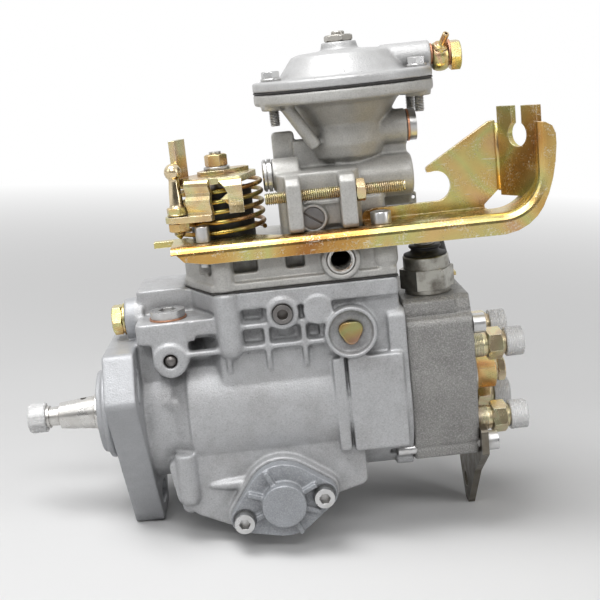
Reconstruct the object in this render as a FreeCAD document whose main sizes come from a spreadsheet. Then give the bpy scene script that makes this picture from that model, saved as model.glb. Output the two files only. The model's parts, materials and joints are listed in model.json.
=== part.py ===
import FreeCAD, Part
import math
import os
import Sketcher
from FreeCAD import Placement, Rotation, Vector

# Rotary diesel injection pump with a boost compensator on top, in millimetres.
# The drive shaft lies on X with its taper at the -X end, Z is up and Y points away from the side
# that carries the cable bracket. The origin is the centre of the pilot on the face of the flange.

DOC = FreeCAD.newDocument("InjectionPump")
SHEET = DOC.addObject("Spreadsheet::Sheet", "Sizes")
NODES = []


class Size:
    """A length that knows its value and the sheet expression that gives it."""

    def __init__(self, value, text):
        self.value = float(value)
        self.text = text

    def combine(self, other, sign, turned=False):
        first, second = (other, self) if turned else (self, other)
        a, b = number(first), number(second)
        results = {"+": a + b, "-": a - b, "*": a * b, "/": a / b if b else 0.0}
        return Size(results[sign], f"({words(first)} {sign} {words(second)})")

    def __add__(self, other):
        return self.combine(other, "+")

    def __radd__(self, other):
        return self.combine(other, "+", True)

    def __sub__(self, other):
        return self.combine(other, "-")

    def __rsub__(self, other):
        return self.combine(other, "-", True)

    def __mul__(self, other):
        return self.combine(other, "*")

    def __rmul__(self, other):
        return self.combine(other, "*", True)

    def __truediv__(self, other):
        return self.combine(other, "/")

    def __neg__(self):
        return Size(-self.value, f"(0 - {self.text})")


def number(amount):
    """The plain value of a size or a number."""
    return amount.value if isinstance(amount, Size) else float(amount)


def words(amount):
    """The expression text of a size or a number."""
    return amount.text if isinstance(amount, Size) else f"({float(amount):.6f})"


def size(alias, value, note=""):
    """Adds one driving dimension to the sheet and returns it."""
    row = size.rows = getattr(size, "rows", 0) + 1
    SHEET.set(f"A{row}", note or alias.replace("_", " "))
    SHEET.set(f"B{row}", str(value))
    SHEET.setAlias(f"B{row}", alias)
    return Size(value, f"Sizes.{alias}")


# %% Building blocks, each bound to the sheet

TURN_TO = {"X": Rotation(Vector(0, 1, 0), 90), "Y": Rotation(Vector(1, 0, 0), -90), "Z": Rotation()}
SKETCH_ON = {"X": Rotation(Vector(1, 1, 1), 120), "Y": Rotation(Vector(1, 0, 0), 90), "Z": Rotation()}
PLANE_ROLE = {"X": "YZ_Plane", "Y": "XZ_Plane", "Z": "XY_Plane"}


def new(kind, name):
    return DOC.addObject(kind, name)


def drive(item, **amounts):
    """Binds properties of an object to sizes."""
    for path, amount in amounts.items():
        item.setExpression(path, words(amount))
    return item


def put(item, turn, x, y, z):
    """Places an object, with each coordinate bound."""
    item.Placement = Placement(Vector(number(x), number(y), number(z)), turn)
    for path, amount in (("x", x), ("y", y), ("z", z)):
        item.setExpression(f"Placement.Base.{path}", words(amount))
    return item


def along(axis, start, u, v):
    """Coordinates of a point at start on the axis, with the other two coordinates in X, Y, Z order."""
    return {"X": (start, u, v), "Y": (u, start, v), "Z": (u, v, start)}[axis]


def rod(axis, radius, start, length, u=0, v=0):
    item = drive(new("Part::Cylinder", "Rod"), Radius=radius, Height=length)
    return put(item, TURN_TO[axis], *along(axis, start, u, v))


def taper(axis, first, second, start, length, u=0, v=0):
    item = drive(new("Part::Cone", "Taper"), Radius1=first, Radius2=second, Height=length)
    return put(item, TURN_TO[axis], *along(axis, start, u, v))


def hexagon(axis, flats, start, length, u=0, v=0, spin=0):
    item = drive(new("Part::Prism", "Hexagon"), Circumradius=flats / math.sqrt(3), Height=length)
    item.Polygon = 6
    turn = TURN_TO[axis].multiply(Rotation(Vector(0, 0, 1), spin))
    return put(item, turn, *along(axis, start, u, v))


def ball(radius, x, y, z):
    return put(drive(new("Part::Sphere", "Ball"), Radius=radius), Rotation(), x, y, z)


def block(xs, ys, zs):
    """Box between two coordinates on each axis."""
    item = drive(new("Part::Box", "Block"), Length=xs[1] - xs[0], Width=ys[1] - ys[0], Height=zs[1] - zs[0])
    return put(item, Rotation(), xs[0], ys[0], zs[0])


def join(*items):
    if len(items) == 1:
        return items[0]
    item = new("Part::MultiFuse", "Join")
    item.Shapes = list(items)
    return item


def group(*items):
    item = new("Part::Compound", "Group")
    item.Links = list(items)
    return item


def cut(base, *tools):
    item = new("Part::Cut", "Cut")
    item.Base = base
    item.Tool = tools[0] if len(tools) == 1 else join(*tools)
    return item


def shared(first, second):
    item = new("Part::Common", "Shared")
    item.Base = first
    item.Tool = second
    return item


def constrain(sketch, index, point, u, v):
    """Fixes one point of a sketch by two bound distances."""
    for kind, letter, amount in (("DistanceX", "u", u), ("DistanceY", "v", v)):
        made = sketch.addConstraint(Sketcher.Constraint(kind, -1, 1, index, point, number(amount)))
        label = f"{letter}{index}"
        sketch.renameConstraint(made, label)
        sketch.setExpression(f"Constraints.{label}", words(amount))


def draw(sketch, loops):
    """Draws closed loops: a list of points is a polygon, (u, v, radius) is a circle."""
    for loop in loops:
        first = sketch.GeometryCount
        if isinstance(loop, tuple):
            u, v, radius = loop
            circle = Part.Circle(Vector(number(u), number(v), 0), Vector(0, 0, 1), number(radius))
            sketch.addGeometry(circle, False)
            constrain(sketch, first, 3, u, v)
            made = sketch.addConstraint(Sketcher.Constraint("Radius", first, number(radius)))
            sketch.renameConstraint(made, f"r{first}")
            sketch.setExpression(f"Constraints.r{first}", words(radius))
            continue
        spots = [Vector(number(u), number(v), 0) for u, v in loop]
        count = len(spots)
        for i in range(count):
            sketch.addGeometry(Part.LineSegment(spots[i], spots[(i + 1) % count]), False)
        for i in range(count):
            sketch.addConstraint(Sketcher.Constraint("Coincident", first + i, 2, first + (i + 1) % count, 1))
        for i in range(count):
            constrain(sketch, first + i, 1, *loop[i])
    return sketch


def prism(axis, start, length, *loops):
    """Outline pushed along an axis. Points are (Y, Z) for X, (X, Z) for Y and (X, Y) for Z."""
    sketch = draw(new("Sketcher::SketchObject", "Outline"), loops)
    base = start + length if axis == "Y" else start
    put(sketch, SKETCH_ON[axis], *along(axis, base, 0, 0))
    item = drive(new("Part::Extrusion", "Push"), LengthFwd=length)
    item.Base = sketch
    item.DirMode = "Normal"
    item.Solid = True
    return item


def turned(axis, profile, u=0, v=0):
    """Solid of revolution from (distance on the axis, radius) points."""
    flip = {"X": lambda a, r: (a, r), "Y": lambda a, r: (r, a), "Z": lambda a, r: (r, a)}[axis]
    sketch = draw(new("Sketcher::SketchObject", "Profile"), [[flip(*point) for point in profile]])
    plane = {"X": "Y", "Y": "Z", "Z": "Y"}[axis]
    x, y, z = along(axis, 0, u, v)
    put(sketch, SKETCH_ON[plane], x, y, z)
    item = drive(new("Part::Revolution", "Turned"), **{"Base.x": x, "Base.y": y, "Base.z": z})
    item.Source = sketch
    item.Axis = Vector(*along(axis, 1, 0, 0))
    item.Angle = 360
    item.Solid = True
    return item


def soften(item, radius, pick):
    """Rounds the edges that pick accepts."""
    DOC.recompute()
    chosen = [i + 1 for i, edge in enumerate(item.Shape.Edges) if pick(edge)]
    soft = new("Part::Fillet", "Soft")
    soft.Base = item
    soft.Edges = [(i, number(radius), number(radius)) for i in chosen]
    return soft


def runs(axis):
    """Picks straight edges that run along an axis."""
    place = "XYZ".index(axis)

    def test(edge):
        ends = [vertex.Point for vertex in edge.Vertexes]
        if len(ends) != 2 or edge.Curve.TypeId != "Part::GeomLine":
            return False
        step = ends[1] - ends[0]
        return abs(step[place]) > 0.999 * step.Length

    return test


def rounded(axis, start, length, radius, *loops):
    """Outline pushed along an axis, with its corners rounded."""
    return soften(prism(axis, start, length, *loops), radius, runs(axis))


def rectangle(us, vs):
    """Corners of an upright rectangle in a sketch."""
    return [(us[0], vs[0]), (us[1], vs[0]), (us[1], vs[1]), (us[0], vs[1])]


def spun(item, angle, axis, x=0, y=0, z=0):
    """Turns a copy of a solid by a fixed angle about a line through a point."""
    turn = Placement(Vector(), Rotation(Vector(*axis), angle), Vector(number(x), number(y), number(z)))
    moved = new("Part::Compound", "Spun")
    moved.Links = [item]
    moved.Placement = turn
    return moved


def coil(name, axis_x, axis_y, low, high, radius, wire, turns, steps=14, lie=None):
    """Spring: a six-sided wire led round a helix in straight steps. It stands on Z unless lie is given."""
    centre, rise = number(radius), number(high) - number(low) - 2 * number(wire)
    total = int(turns * steps)
    path = []
    for i in range(total + 1):
        angle = 2 * math.pi * i / steps
        level = number(low) + number(wire) + rise * i / total
        path.append(Vector(centre * math.cos(angle), centre * math.sin(angle), level))
    heading = (path[1] - path[0]).normalize()
    side = heading.cross(Vector(0, 0, 1)).normalize()
    lift = side.cross(heading)
    ring = [
        path[0] + (side * math.cos(a) + lift * math.sin(a)) * number(wire)
        for a in (math.radians(60 * k) for k in range(7))
    ]
    sweep = Part.BRepOffsetAPI.MakePipeShell(Part.makePolygon(path))
    sweep.setTransitionMode(1)
    sweep.add(Part.makePolygon(ring))
    sweep.build()
    sweep.makeSolid()
    item = new("Part::Feature", name)
    item.Shape = sweep.shape()
    item.Placement = Placement(Vector(number(axis_x), number(axis_y), 0), lie or Rotation())
    return item


class Body:
    """A PartDesign body under construction."""

    def __init__(self, name):
        self.body = new("PartDesign::Body", name)

    def sketch(self, axis, start, loops):
        sketch = self.body.newObject("Sketcher::SketchObject", "Sketch")
        plane = next(f for f in self.body.Origin.OriginFeatures if f.Role == PLANE_ROLE[axis])
        sketch.AttachmentSupport = [(plane, "")]
        sketch.MapMode = "FlatFace"
        offset = -start if axis == "Y" else start
        sketch.setExpression("AttachmentOffset.Base.z", words(offset))
        return draw(sketch, loops)

    def feature(self, kind, sketch, axis, start, length):
        feature = self.body.newObject(kind, kind.split("::")[1])
        feature.Profile = sketch
        drive(feature, Length=length)
        sketch.Visibility = False
        return feature

    def pad(self, axis, start, length, *loops):
        base = start + length if axis == "Y" else start
        return self.feature("PartDesign::Pad", self.sketch(axis, base, loops), axis, start, length)

    def pocket(self, axis, start, length, *loops):
        base = start + length if axis == "Y" else start
        feature = self.feature("PartDesign::Pocket", self.sketch(axis, base, loops), axis, start, length)
        feature.Reversed = True
        return feature

    def polar(self, features, axis, count):
        pattern = self.body.newObject("PartDesign::PolarPattern", "Pattern")
        pattern.Originals = features
        line = next(f for f in self.body.Origin.OriginFeatures if f.Role == f"{axis}_Axis")
        pattern.Axis = (line, [""])
        pattern.Occurrences = count
        pattern.Angle = 360
        self.body.Tip = pattern
        return pattern

    def fillet(self, radius, pick):
        DOC.recompute()
        last = self.body.Tip
        names = [f"Edge{i + 1}" for i, edge in enumerate(last.Shape.Edges) if pick(edge)]
        feature = self.body.newObject("PartDesign::Fillet", "Fillet")
        feature.Base = (last, names)
        drive(feature, Radius=radius)
        self.body.Tip = feature
        return feature


def node(name, item):
    """Names a finished sub-part; the label is also its file name."""
    item.Label = name
    NODES.append(item)
    return item


# %% Driving dimensions

RUN = size("running_clearance", 0.05, "radial clearance of a running fit")
SEAT = size("seat_clearance", 0.3, "clearance between seated pieces of different bodies")
FIT = size("screw_clearance", 0.1, "radial clearance of a screw in its hole")

SHAFT_R = size("shaft_radius", 10, "drive shaft journal")
PILOT_R = size("pilot_radius", 25, "pilot that centres the pump, 50 mm across")
PILOT_LONG = size("pilot_length", 8)
NOSE_R = size("nose_radius", 21.9)
NOSE_LONG = size("nose_length", 3.2)
FLANGE = size("flange_thickness", 15.5)
EAR_REACH = size("ear_reach", 60, "centre to the end face of an ear")
EAR_HALF = size("ear_half_width", 13)
EAR_HOLES = size("ear_hole_distance", 48.5, "centre to the middle of a slotted hole")
SLOT_R = size("slot_radius", 4.5)
SLOT_HALF = size("slot_half_length", 5)

ROUND_R = size("barrel_radius", 42.5, "round lower part of the housing")
BARREL_START = size("barrel_start", 38)
WALL_FACE = size("wall_face", 38.5, "half width of the governor box between its ribs")
RIB_FACE = size("rib_face", 42.5, "half width over the ribs and rims")
HOUSING_END = size("housing_end", 149.5)
SEAM = size("seam_height", 65, "joint between housing and governor cover")
BOX_START = size("box_start", 42)
GEAR_X = size("gear_start", 56)
GOVERNOR_START = GEAR_X - 1
BOX_CORNER = GOVERNOR_START + 2
BOX_NOSE = size("box_nose_half", 14)
CHAMBER_R = size("chamber_radius", 31.05)
SPIGOT_R = size("head_spigot_bore_radius", 34)
CHAMBER_START = size("chamber_start", 46)
GOVERNOR_HALF = size("governor_chamber_half", 31)
GOVERNOR_END = size("governor_chamber_end", 141)
GASKET = size("gasket_thickness", 0.6)

GOVERNOR_Z = size("governor_axis_height", 46)
GEAR_WIDE = size("gear_width", 6)

TIMING_X = size("timing_axis_x", 80.5)
TIMING_Z = size("timing_axis_z", -41)
TIMING_R = size("timing_bore_radius", 9.6)
TIMING_FACE = size("timing_face", 45, "half width over the timing covers' pads")

HEAD_END = size("head_end", 183.2)
HEAD_HALF = size("head_half_width", 38)
HEAD_TOP = size("head_top", 50)
HEAD_FOOT = size("head_foot", -36)
VALVE_AT = size("valve_offset", 19.8, "delivery valves lie this far from the axis on Y and on Z")
VALVE_HEX = size("valve_hex", 14.6)
PLUNGER_R = size("plunger_radius", 5)
BARREL_R = size("plunger_barrel_radius", 9)

BOOST_X = size("boost_axis_x", 132)
BOOST_R = size("boost_flange_radius", 45.3)
BOOST_SEAM = size("boost_seam", 157)
BOOST_BC = size("boost_screw_circle", 39)
BOOST_SCREW_ANGLE = 23.4

LEVER_X = size("lever_axis_x", 64.8)
LEVER_Y = size("lever_axis_y", -13)
LEVER_TOP = size("lever_top", 121)
BRACKET_TOP = size("bracket_top", 90.5)
SHEET_THICK = size("sheet_thickness", 3)
BRACKET_FRONT = size("bracket_front", -48)
BRACKET_BACK = size("bracket_back", -20)
PLATE_THICK = size("support_plate_thickness", 3.6)


def plan(face, inset=0):
    """Plan outline that housing, gasket and governor cover share."""
    nose = BOX_NOSE - inset
    return [
        (BOX_START + inset, nose),
        (BOX_START + inset, -nose),
        (BOX_CORNER + inset, -face),
        (HOUSING_END - 2 - inset, -face),
        (HOUSING_END - 2 - inset, face),
        (BOX_CORNER + inset, face),
    ]


def tangent_quad(first, second):
    """Corners of the band between the outer tangents of two circles (u, v, radius)."""
    u1, v1, r1 = first
    u2, v2, r2 = second
    du, dv = number(u2) - number(u1), number(v2) - number(v1)
    heading = math.atan2(dv, du)
    lean = math.acos((number(r1) - number(r2)) / math.hypot(du, dv))
    corners = []
    for side in (1, -1):
        angle = heading + side * lean
        pair = [(u + r * math.cos(angle), v + r * math.sin(angle)) for u, v, r in (first, second)]
        corners += pair if side == 1 else pair[::-1]
    return corners


# %% Pump housing

EAR_ANGLES = (30, 150, 270)
COLUMN_X = BOX_CORNER + 6
COLUMN_R = size("column_radius", 5.8)
RIB_THICK = size("rib_thickness", 2.6)
UPPER_RIB = size("upper_rib_height", 47.5)
LOWER_RIB = size("lower_rib_height", 36.5)
SHELF_TOP = size("shelf_top", 53.5)
SHELF_START = size("shelf_start", 17)
INLET_X = size("inlet_plug_x", 33)
INLET_Y = size("inlet_plug_y", -30)
BALL_PLUG_X = size("ball_plug_x", 32.6)
BALL_PLUG_Z = size("ball_plug_z", 34.3)
RING_PLUG_X = size("ring_plug_x", 89.6)
FLAT_BOSS_X = size("flat_boss_x", 107)
PLUG_Z = size("plug_height", 52.5)
PIVOT_X = size("pivot_boss_x", 122)
PIVOT_Z = size("pivot_boss_z", 39.8)
PIVOT_R = size("pivot_boss_radius", 13)
PIVOT_BORE = size("pivot_bore_radius", 10.9)
PIVOT_FACE = size("pivot_boss_face", 45.5)
PAD_START = size("text_pad_start", 119)
PAD_LOW = size("text_pad_low", -22)
PAD_HIGH = size("text_pad_high", 27)
PAD_FACE = size("text_pad_face", 43.8)
BOLT_Y = size("inlet_bolt_y", -12)
BOLT_Z = size("inlet_bolt_z", 51.5)
BOLT_BOSS_START = size("inlet_bolt_boss_start", 10)
TIMING_SCREWS = ((60.0, -48.5), (100.7, -39.6))
SCREW_SIDE = HEAD_HALF - 4
LOW_SCREW_SIDE = HEAD_HALF - 7.5
HEAD_SCREWS = ((-SCREW_SIDE, 35.0), (-LOW_SCREW_SIDE, -28.6), (SCREW_SIDE, 35.0), (LOW_SCREW_SIDE, -28.6))
FRONT_SCREW_X = BOX_CORNER + 6
COVER_SCREWS = ((FRONT_SCREW_X, -37.5), (143.0, -25.0), (FRONT_SCREW_X, 37.5), (143.0, 25.0))
M6 = size("screw_m6_radius", 3)
SEAL_GROOVE = size("seal_groove_depth", 1.6)
NECK_R = size("neck_radius", 37)
BLOCK_TOP = size("shelf_block_top", 66)
BLOCK_HALF = size("shelf_block_half", 19)
SHELF_FRONT = size("shelf_front", 41)
TIMING_PAD = size("timing_pad_depth", 10)
M5 = size("screw_m5_radius", 2.5)


def ear_corners():
    corners = []
    for angle in EAR_ANGLES:
        c, s = math.cos(math.radians(angle)), math.sin(math.radians(angle))
        for side in (-1, 1):
            corners.append((EAR_REACH * c - EAR_HALF * (side * s), EAR_REACH * s + EAR_HALF * (side * c)))
    return corners


def ear_slot(angle):
    """Slotted hole through one ear, long way round the shaft."""
    c, s = math.cos(math.radians(angle)), math.sin(math.radians(angle))
    spots = [(EAR_HOLES * c - SLOT_HALF * (k * s), EAR_HOLES * s + SLOT_HALF * (k * c)) for k in (-1, 1)]
    band = tangent_quad((*spots[0], SLOT_R), (*spots[1], SLOT_R))
    ends = [rod("X", SLOT_R, -1, FLANGE + 2, *spot) for spot in spots]
    return join(prism("X", -1, FLANGE + 2, band), *ends)


def housing_front():
    flange = rounded("X", 0, FLANGE, 4, ear_corners())
    pilot = turned("X", [
        (-PILOT_LONG - NOSE_LONG, 0),
        (-PILOT_LONG - NOSE_LONG, NOSE_R),
        (-PILOT_LONG, NOSE_R),
        (-PILOT_LONG, PILOT_R),
        (-4.6, PILOT_R),
        (-4.6, PILOT_R - SEAL_GROOVE),
        (-2.4, PILOT_R - SEAL_GROOVE),
        (-2.4, PILOT_R),
        (1, PILOT_R),
        (1, 0),
    ])
    neck = turned("X", [
        (FLANGE - 1, 0),
        (FLANGE - 1, NECK_R),
        (BARREL_START - 8, NECK_R),
        (BARREL_START + 3, ROUND_R),
        (BARREL_START + 3, 0),
    ])
    return [flange, pilot, neck]


def housing_top_left():
    top = rounded(
        "Z", 30, BLOCK_TOP - 30, 2.5,
        rectangle((SHELF_START, BOX_START - SEAT), (-BLOCK_HALF, BLOCK_HALF)),
    )
    root = block((SHELF_START + 5, BOX_START + 6), (-BLOCK_HALF, BLOCK_HALF), (30, SEAM))
    shelf = rounded(
        "Z", 43, SHELF_TOP - 43, 4,
        rectangle((SHELF_START, BOX_CORNER + 2), (-SHELF_FRONT, -BLOCK_HALF + 4)),
    )
    web = block((24, 42), (-SHELF_FRONT, -18), (BALL_PLUG_Z - 2, 45))
    boss = rod("Y", 8.5, -RIB_FACE, 24, BALL_PLUG_X, BALL_PLUG_Z)
    bolt_boss = rod("X", 10.5, BOLT_BOSS_START, 10, BOLT_Y, BOLT_Z)
    foot = block((FLANGE - 1, 26), (-30, 30), (20, 42))
    return [top, root, shelf, web, boss, bolt_boss, foot]


def housing_ribs():
    ribs = []
    for height, first, last in ((UPPER_RIB, COLUMN_X + 4, 108), (LOWER_RIB, BALL_PLUG_X + 6, 111)):
        ribs.append(block((first, last), (-RIB_FACE, -WALL_FACE + 2),
            (height - RIB_THICK / 2, height + RIB_THICK / 2)))
    for x in (61, 81, 99):
        outline = [
            (-RIB_FACE, UPPER_RIB),
            (-RIB_FACE, LOWER_RIB - 4),
            (-RIB_FACE + 3, 24),
            (-30, 24),
            (-30, UPPER_RIB),
        ]
        ribs.append(prism("X", x - RIB_THICK / 2, RIB_THICK, outline))
    return ribs


def housing_bosses():
    column = rod("Z", COLUMN_R, 37, SEAM - 37, COLUMN_X, -38.2)
    column_end = ball(COLUMN_R, COLUMN_X, -38.2, 37)
    far_column = rod("Z", COLUMN_R, 37, SEAM - 37, COLUMN_X, 38.2)
    far_end = ball(COLUMN_R, COLUMN_X, 38.2, 37)
    ring_boss = rod("Y", 8, -44, 10, RING_PLUG_X, PLUG_Z)
    flat_boss = rod("Y", 7.2, -43.6, 10, FLAT_BOSS_X, PLUG_Z)
    pivot_boss = rod("Y", PIVOT_R, -PIVOT_FACE, 20, PIVOT_X, PIVOT_Z)
    far_boss = rod("Y", PIVOT_R, PIVOT_FACE - 20, 20, PIVOT_X, PIVOT_Z)
    pad = rounded("Y", -PAD_FACE, 14, 1.2, rectangle((PAD_START, 146.5), (PAD_LOW, PAD_HIGH)))
    strip = rounded("Y", -PAD_FACE + 0.3, 14, 1.2, rectangle((111.5, PAD_START - 1.6),
        (PAD_LOW + 1, PAD_HIGH)))
    return [column, column_end, far_column, far_end, ring_boss, flat_boss, pivot_boss, far_boss, pad, strip]


def timing_case():
    outline = [
        (24, -18), (27, -40), (37, -49), (54, -57), (TIMING_X, TIMING_Z - 20.5),
        (TIMING_X + 15, -58), (TIMING_X + 24, -46), (124, -41), (124, -18),
    ]
    case = rounded("Y", -39, 78, 4, outline)
    rib = rod("Z", 5, -44, 24, 33, -33)
    rib_end = ball(5, 33, -33, -44)
    pads = []
    for side in (-1, 1):
        start = -TIMING_FACE if side == -1 else TIMING_FACE - TIMING_PAD
        pads += cover_outline(start, TIMING_PAD, 1.4)
    return [case, rib, rib_end, *pads]


def cover_outline(start, length, grow=0):
    """Shape of a timing cover: a round middle and two screw lugs, joined by tangents."""
    middle = (TIMING_X, TIMING_Z + 0.6, 19 + grow)
    lugs = [(x, z, 6.8 + grow) for x, z in TIMING_SCREWS]
    parts = [rod("Y", middle[2], start, length, middle[0], middle[1])]
    for lug in lugs:
        parts.append(rod("Y", lug[2], start, length, lug[0], lug[1]))
        parts.append(prism("Y", start, length, tangent_quad(middle, lug)))
    return parts


def rear_rim():
    side = HEAD_HALF + 3
    rim = [(-side, 48), (-side, -2), (-28, -38), (28, -38), (side, -2), (side, 48)]
    return [rounded("X", HOUSING_END - 9, 9, 5, rim)]


def housing_hollows():
    front = -PILOT_LONG - NOSE_LONG
    tools = [
        rod("X", 13, front - 1, 42 - front),
        rod("X", 16, front - 1, 8.3),
        rod("X", 31, 28, 18),
        rod("X", CHAMBER_R, 44, HOUSING_END - 43),
        rod("X", SPIGOT_R, HOUSING_END - 16, 17),
        block((TIMING_X - 5, TIMING_X + 5), (-11, 11), (TIMING_Z, -CHAMBER_R + 3)),
        block((GOVERNOR_START, GOVERNOR_END), (-GOVERNOR_HALF, GOVERNOR_HALF), (0, SEAM + 1)),
        rod("X", GOVERNOR_SHAFT_R + FIT, GOVERNOR_START - 11, 16, 0, GOVERNOR_Z),
        rod("Y", TIMING_R, -TIMING_FACE - 1, 2 * TIMING_FACE + 2, TIMING_X, TIMING_Z),
        rod("Z", 6.1, SHELF_TOP - 14, 15, INLET_X, INLET_Y),
        rod("Y", 3.5, -RIB_FACE - 1, 9, BALL_PLUG_X, BALL_PLUG_Z),
        rod("Y", 4.8, -45, 12, RING_PLUG_X, PLUG_Z),
        rod("Y", PIVOT_BORE, -PIVOT_FACE - 1, 5, PIVOT_X, PIVOT_Z),
        rod("Y", PIVOT_BORE, PIVOT_FACE - 4, 5, PIVOT_X, PIVOT_Z),
        rod("Y", 5.1, -PIVOT_FACE - 1, 20, PIVOT_X, PIVOT_Z),
        rod("X", 5.1, BOLT_BOSS_START - 1, 14, BOLT_Y, BOLT_Z),
    ]
    tools += [ear_slot(angle) for angle in EAR_ANGLES]
    for x, z in TIMING_SCREWS:
        tools += [rod("Y", M6 + FIT, -TIMING_FACE - 1, 13, x, z),
            rod("Y", M6 + FIT, TIMING_FACE - 12, 13, x, z)]
    tools += [rod("X", M6 + FIT, HOUSING_END - 12, 13, y, z) for y, z in HEAD_SCREWS]
    tools += [rod("Z", M5 + FIT, SEAM - 14, 15, x, y) for x, y in COVER_SCREWS]
    recesses = ((46, 56, 38, 45.5), (70, 80, 50, 56), (66, 79.5, 38.5, 45.8), (82.8, 97, 38.5, 45),
                (101, 107, 38.5, 44.5))
    for first, last, low, high in recesses:
        tools.append(block((first, last), (-RIB_FACE - 1, -WALL_FACE + 2.5), (low, high)))
    return tools


def pump_housing():
    barrel = rod("X", ROUND_R, BARREL_START, HOUSING_END - BARREL_START)
    box = rounded("Z", 8, SEAM - 8, 3, plan(WALL_FACE))
    rim = rounded("Z", SEAM - 9, 9, 3, plan(RIB_FACE))
    solids = housing_front() + [barrel, box, rim] + housing_top_left() + housing_ribs()
    solids += housing_bosses() + timing_case() + rear_rim()
    node("pump_housing", cut(join(*solids), *housing_hollows()))


# %% Shaft, feed pump and cam train

BUSH_WALL = size("bush_wall", 2.9)
PUMP_X = size("feed_pump_start", 28.3)
PUMP_WIDE = size("feed_pump_width", 11.5)
ROTOR_R = size("feed_pump_rotor_radius", 18.6)
PUMP_OFFSET = size("feed_pump_offset", 1.2)
THREAD_R = size("shaft_thread_radius", 5.95)
TAPER_R = size("taper_small_radius", 7)
PISTON_HALF = size("timing_piston_half", 24)
VANE_COUNT = 4
MODULE = 2.3
SHAFT_TEETH = 25
GOVERNOR_TEETH = 15
CAM_X = size("cam_disc_start", 92)
RING_X = size("roller_ring_start", 75)
RING_WIDE = size("roller_ring_width", 11)


def shaft_bush():
    ring = turned("X", [
        (-3.8, SHAFT_R + RUN), (-3.8, SHAFT_R + BUSH_WALL), (27.9, SHAFT_R + BUSH_WALL),
        (27.9, SHAFT_R + RUN),
    ])
    node("shaft_bush", ring)


def shaft_seal():
    front = -PILOT_LONG - NOSE_LONG + 0.4
    node("shaft_seal", turned("X", [
        (front, SHAFT_R + 0.8), (front, 15.9), (-4.0, 15.9), (-4.0, SHAFT_R + 3),
        (-5.5, SHAFT_R + 3), (-6.5, SHAFT_R + RUN), (-7.5, SHAFT_R + RUN), (-9, SHAFT_R + 2),
    ]))


def drive_shaft():
    shaft = turned("X", [
        (-49, 0), (-49, THREAD_R - 1), (-48, THREAD_R), (-39.5, THREAD_R), (-39.5, 5.05), (-34.2, 5.05),
        (-33.6, TAPER_R), (-15, TAPER_R + 1.86), (-14.4, SHAFT_R), (GEAR_X + 14, SHAFT_R), (GEAR_X + 14, 0),
    ])
    yoke = rod("X", 20, GEAR_X + 8, 5)
    claws = [block((GEAR_X + 12, CAM_X - 1), (y - 4, y + 4), (-4, 4)) for y in (-15, 15)]
    key_slot = block((-31, -18), (SHAFT_R - 5.2, SHAFT_R + 2), (-2, 2))
    oil_hole = rod("Z", 1.7, 4.5, 6, -20.8, 0)
    node("drive_shaft", cut(join(shaft, yoke, *claws), key_slot, oil_hole))


def thread_cap():
    shell = turned("X", [
        (-50.4, 0), (-50.4, 6.9), (-49.6, 7.7), (-41, 7.7), (-41, 6.15), (-49.3, 6.15), (-49.3, 0),
    ])
    node("thread_cap", shell)


def gear(name, teeth):
    """Spur gear on X, pushed out of a disc with a ring of teeth."""
    pitch = MODULE * teeth / 2
    body = Body(name)
    outline = [(pitch - 2.4, -1.9), (pitch + 1.4, -0.8), (pitch + 1.4, 0.8), (pitch - 2.4, 1.9)]
    body.pad("X", GEAR_X, GEAR_WIDE, (0, 0, pitch - 2.1))
    tooth = body.pad("X", GEAR_X, GEAR_WIDE, outline)
    body.polar([tooth], "X", teeth)
    hole = SHAFT_R if name == "drive_gear" else GOVERNOR_SHAFT_R + RUN
    body.pocket("X", GEAR_X - 1, GEAR_WIDE + 2, (0, 0, hole))
    return body.body


def drive_gear():
    node("drive_gear", gear("drive_gear", SHAFT_TEETH))


def feed_pump():
    eye = rod("X", ROTOR_R + PUMP_OFFSET + 0.6, PUMP_X - 1, PUMP_WIDE + 2, 0, PUMP_OFFSET)
    ring = cut(rod("X", 30.9, PUMP_X, PUMP_WIDE), eye)
    plate_x = PUMP_X + PUMP_WIDE
    plate = cut(rod("X", 30.9, plate_x, 3), rod("X", SHAFT_R + 0.3, plate_x - 1, 5))
    node("feed_pump_case", group(ring, plate))
    disc = rod("X", ROTOR_R, PUMP_X + 0.1, PUMP_WIDE - 0.2)
    slots = []
    vanes = []
    for k in range(VANE_COUNT):
        slot = block((PUMP_X - 1, PUMP_X + PUMP_WIDE + 1), (-1, 1), (SHAFT_R + 3, ROTOR_R + 2))
        vane = block((PUMP_X + 0.1, PUMP_X + PUMP_WIDE - 0.1), (-0.95, 0.95), (SHAFT_R + 3.2, ROTOR_R + 0.4))
        slots.append(spun(slot, 90 * k, (1, 0, 0)))
        vanes.append(spun(vane, 90 * k, (1, 0, 0)))
    rotor = cut(disc, rod("X", SHAFT_R, PUMP_X - 1, PUMP_WIDE + 2), *slots)
    node("feed_pump_rotor", group(rotor, *vanes))


def roller_ring():
    ring = cut(rod("X", CHAMBER_R - RUN, RING_X, RING_WIDE), rod("X", 21, RING_X - 1, RING_WIDE + 2))
    pin = join(rod("Z", 2.4, TIMING_Z + 1, 14, TIMING_X, 0), ball(4, TIMING_X, 0, TIMING_Z + 1))
    pockets = []
    rollers = []
    for k in range(4):
        angle = 45 + 90 * k
        pockets.append(spun(block((RING_X + 5, RING_X + 12), (-5, 5), (20, 34)), angle, (1, 0, 0)))
        rollers.append(spun(rod("Z", 4.4, 22, 8, RING_X + RING_WIDE - 1, 0), angle, (1, 0, 0)))
    node("roller_ring", group(join(cut(ring, *pockets), pin), *rollers))


def timing_piston():
    half = PISTON_HALF
    piston = rod("Y", TIMING_R - RUN, -half, 2 * half, TIMING_X, TIMING_Z)
    slot = block((TIMING_X - 6, TIMING_X + 6), (-4.2, 4.2), (TIMING_Z - 4, TIMING_Z + 14))
    spring_bore = rod("Y", 7.4, half - 12, 13, TIMING_X, TIMING_Z)
    node("timing_piston", cut(piston, slot, spring_bore))


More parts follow.
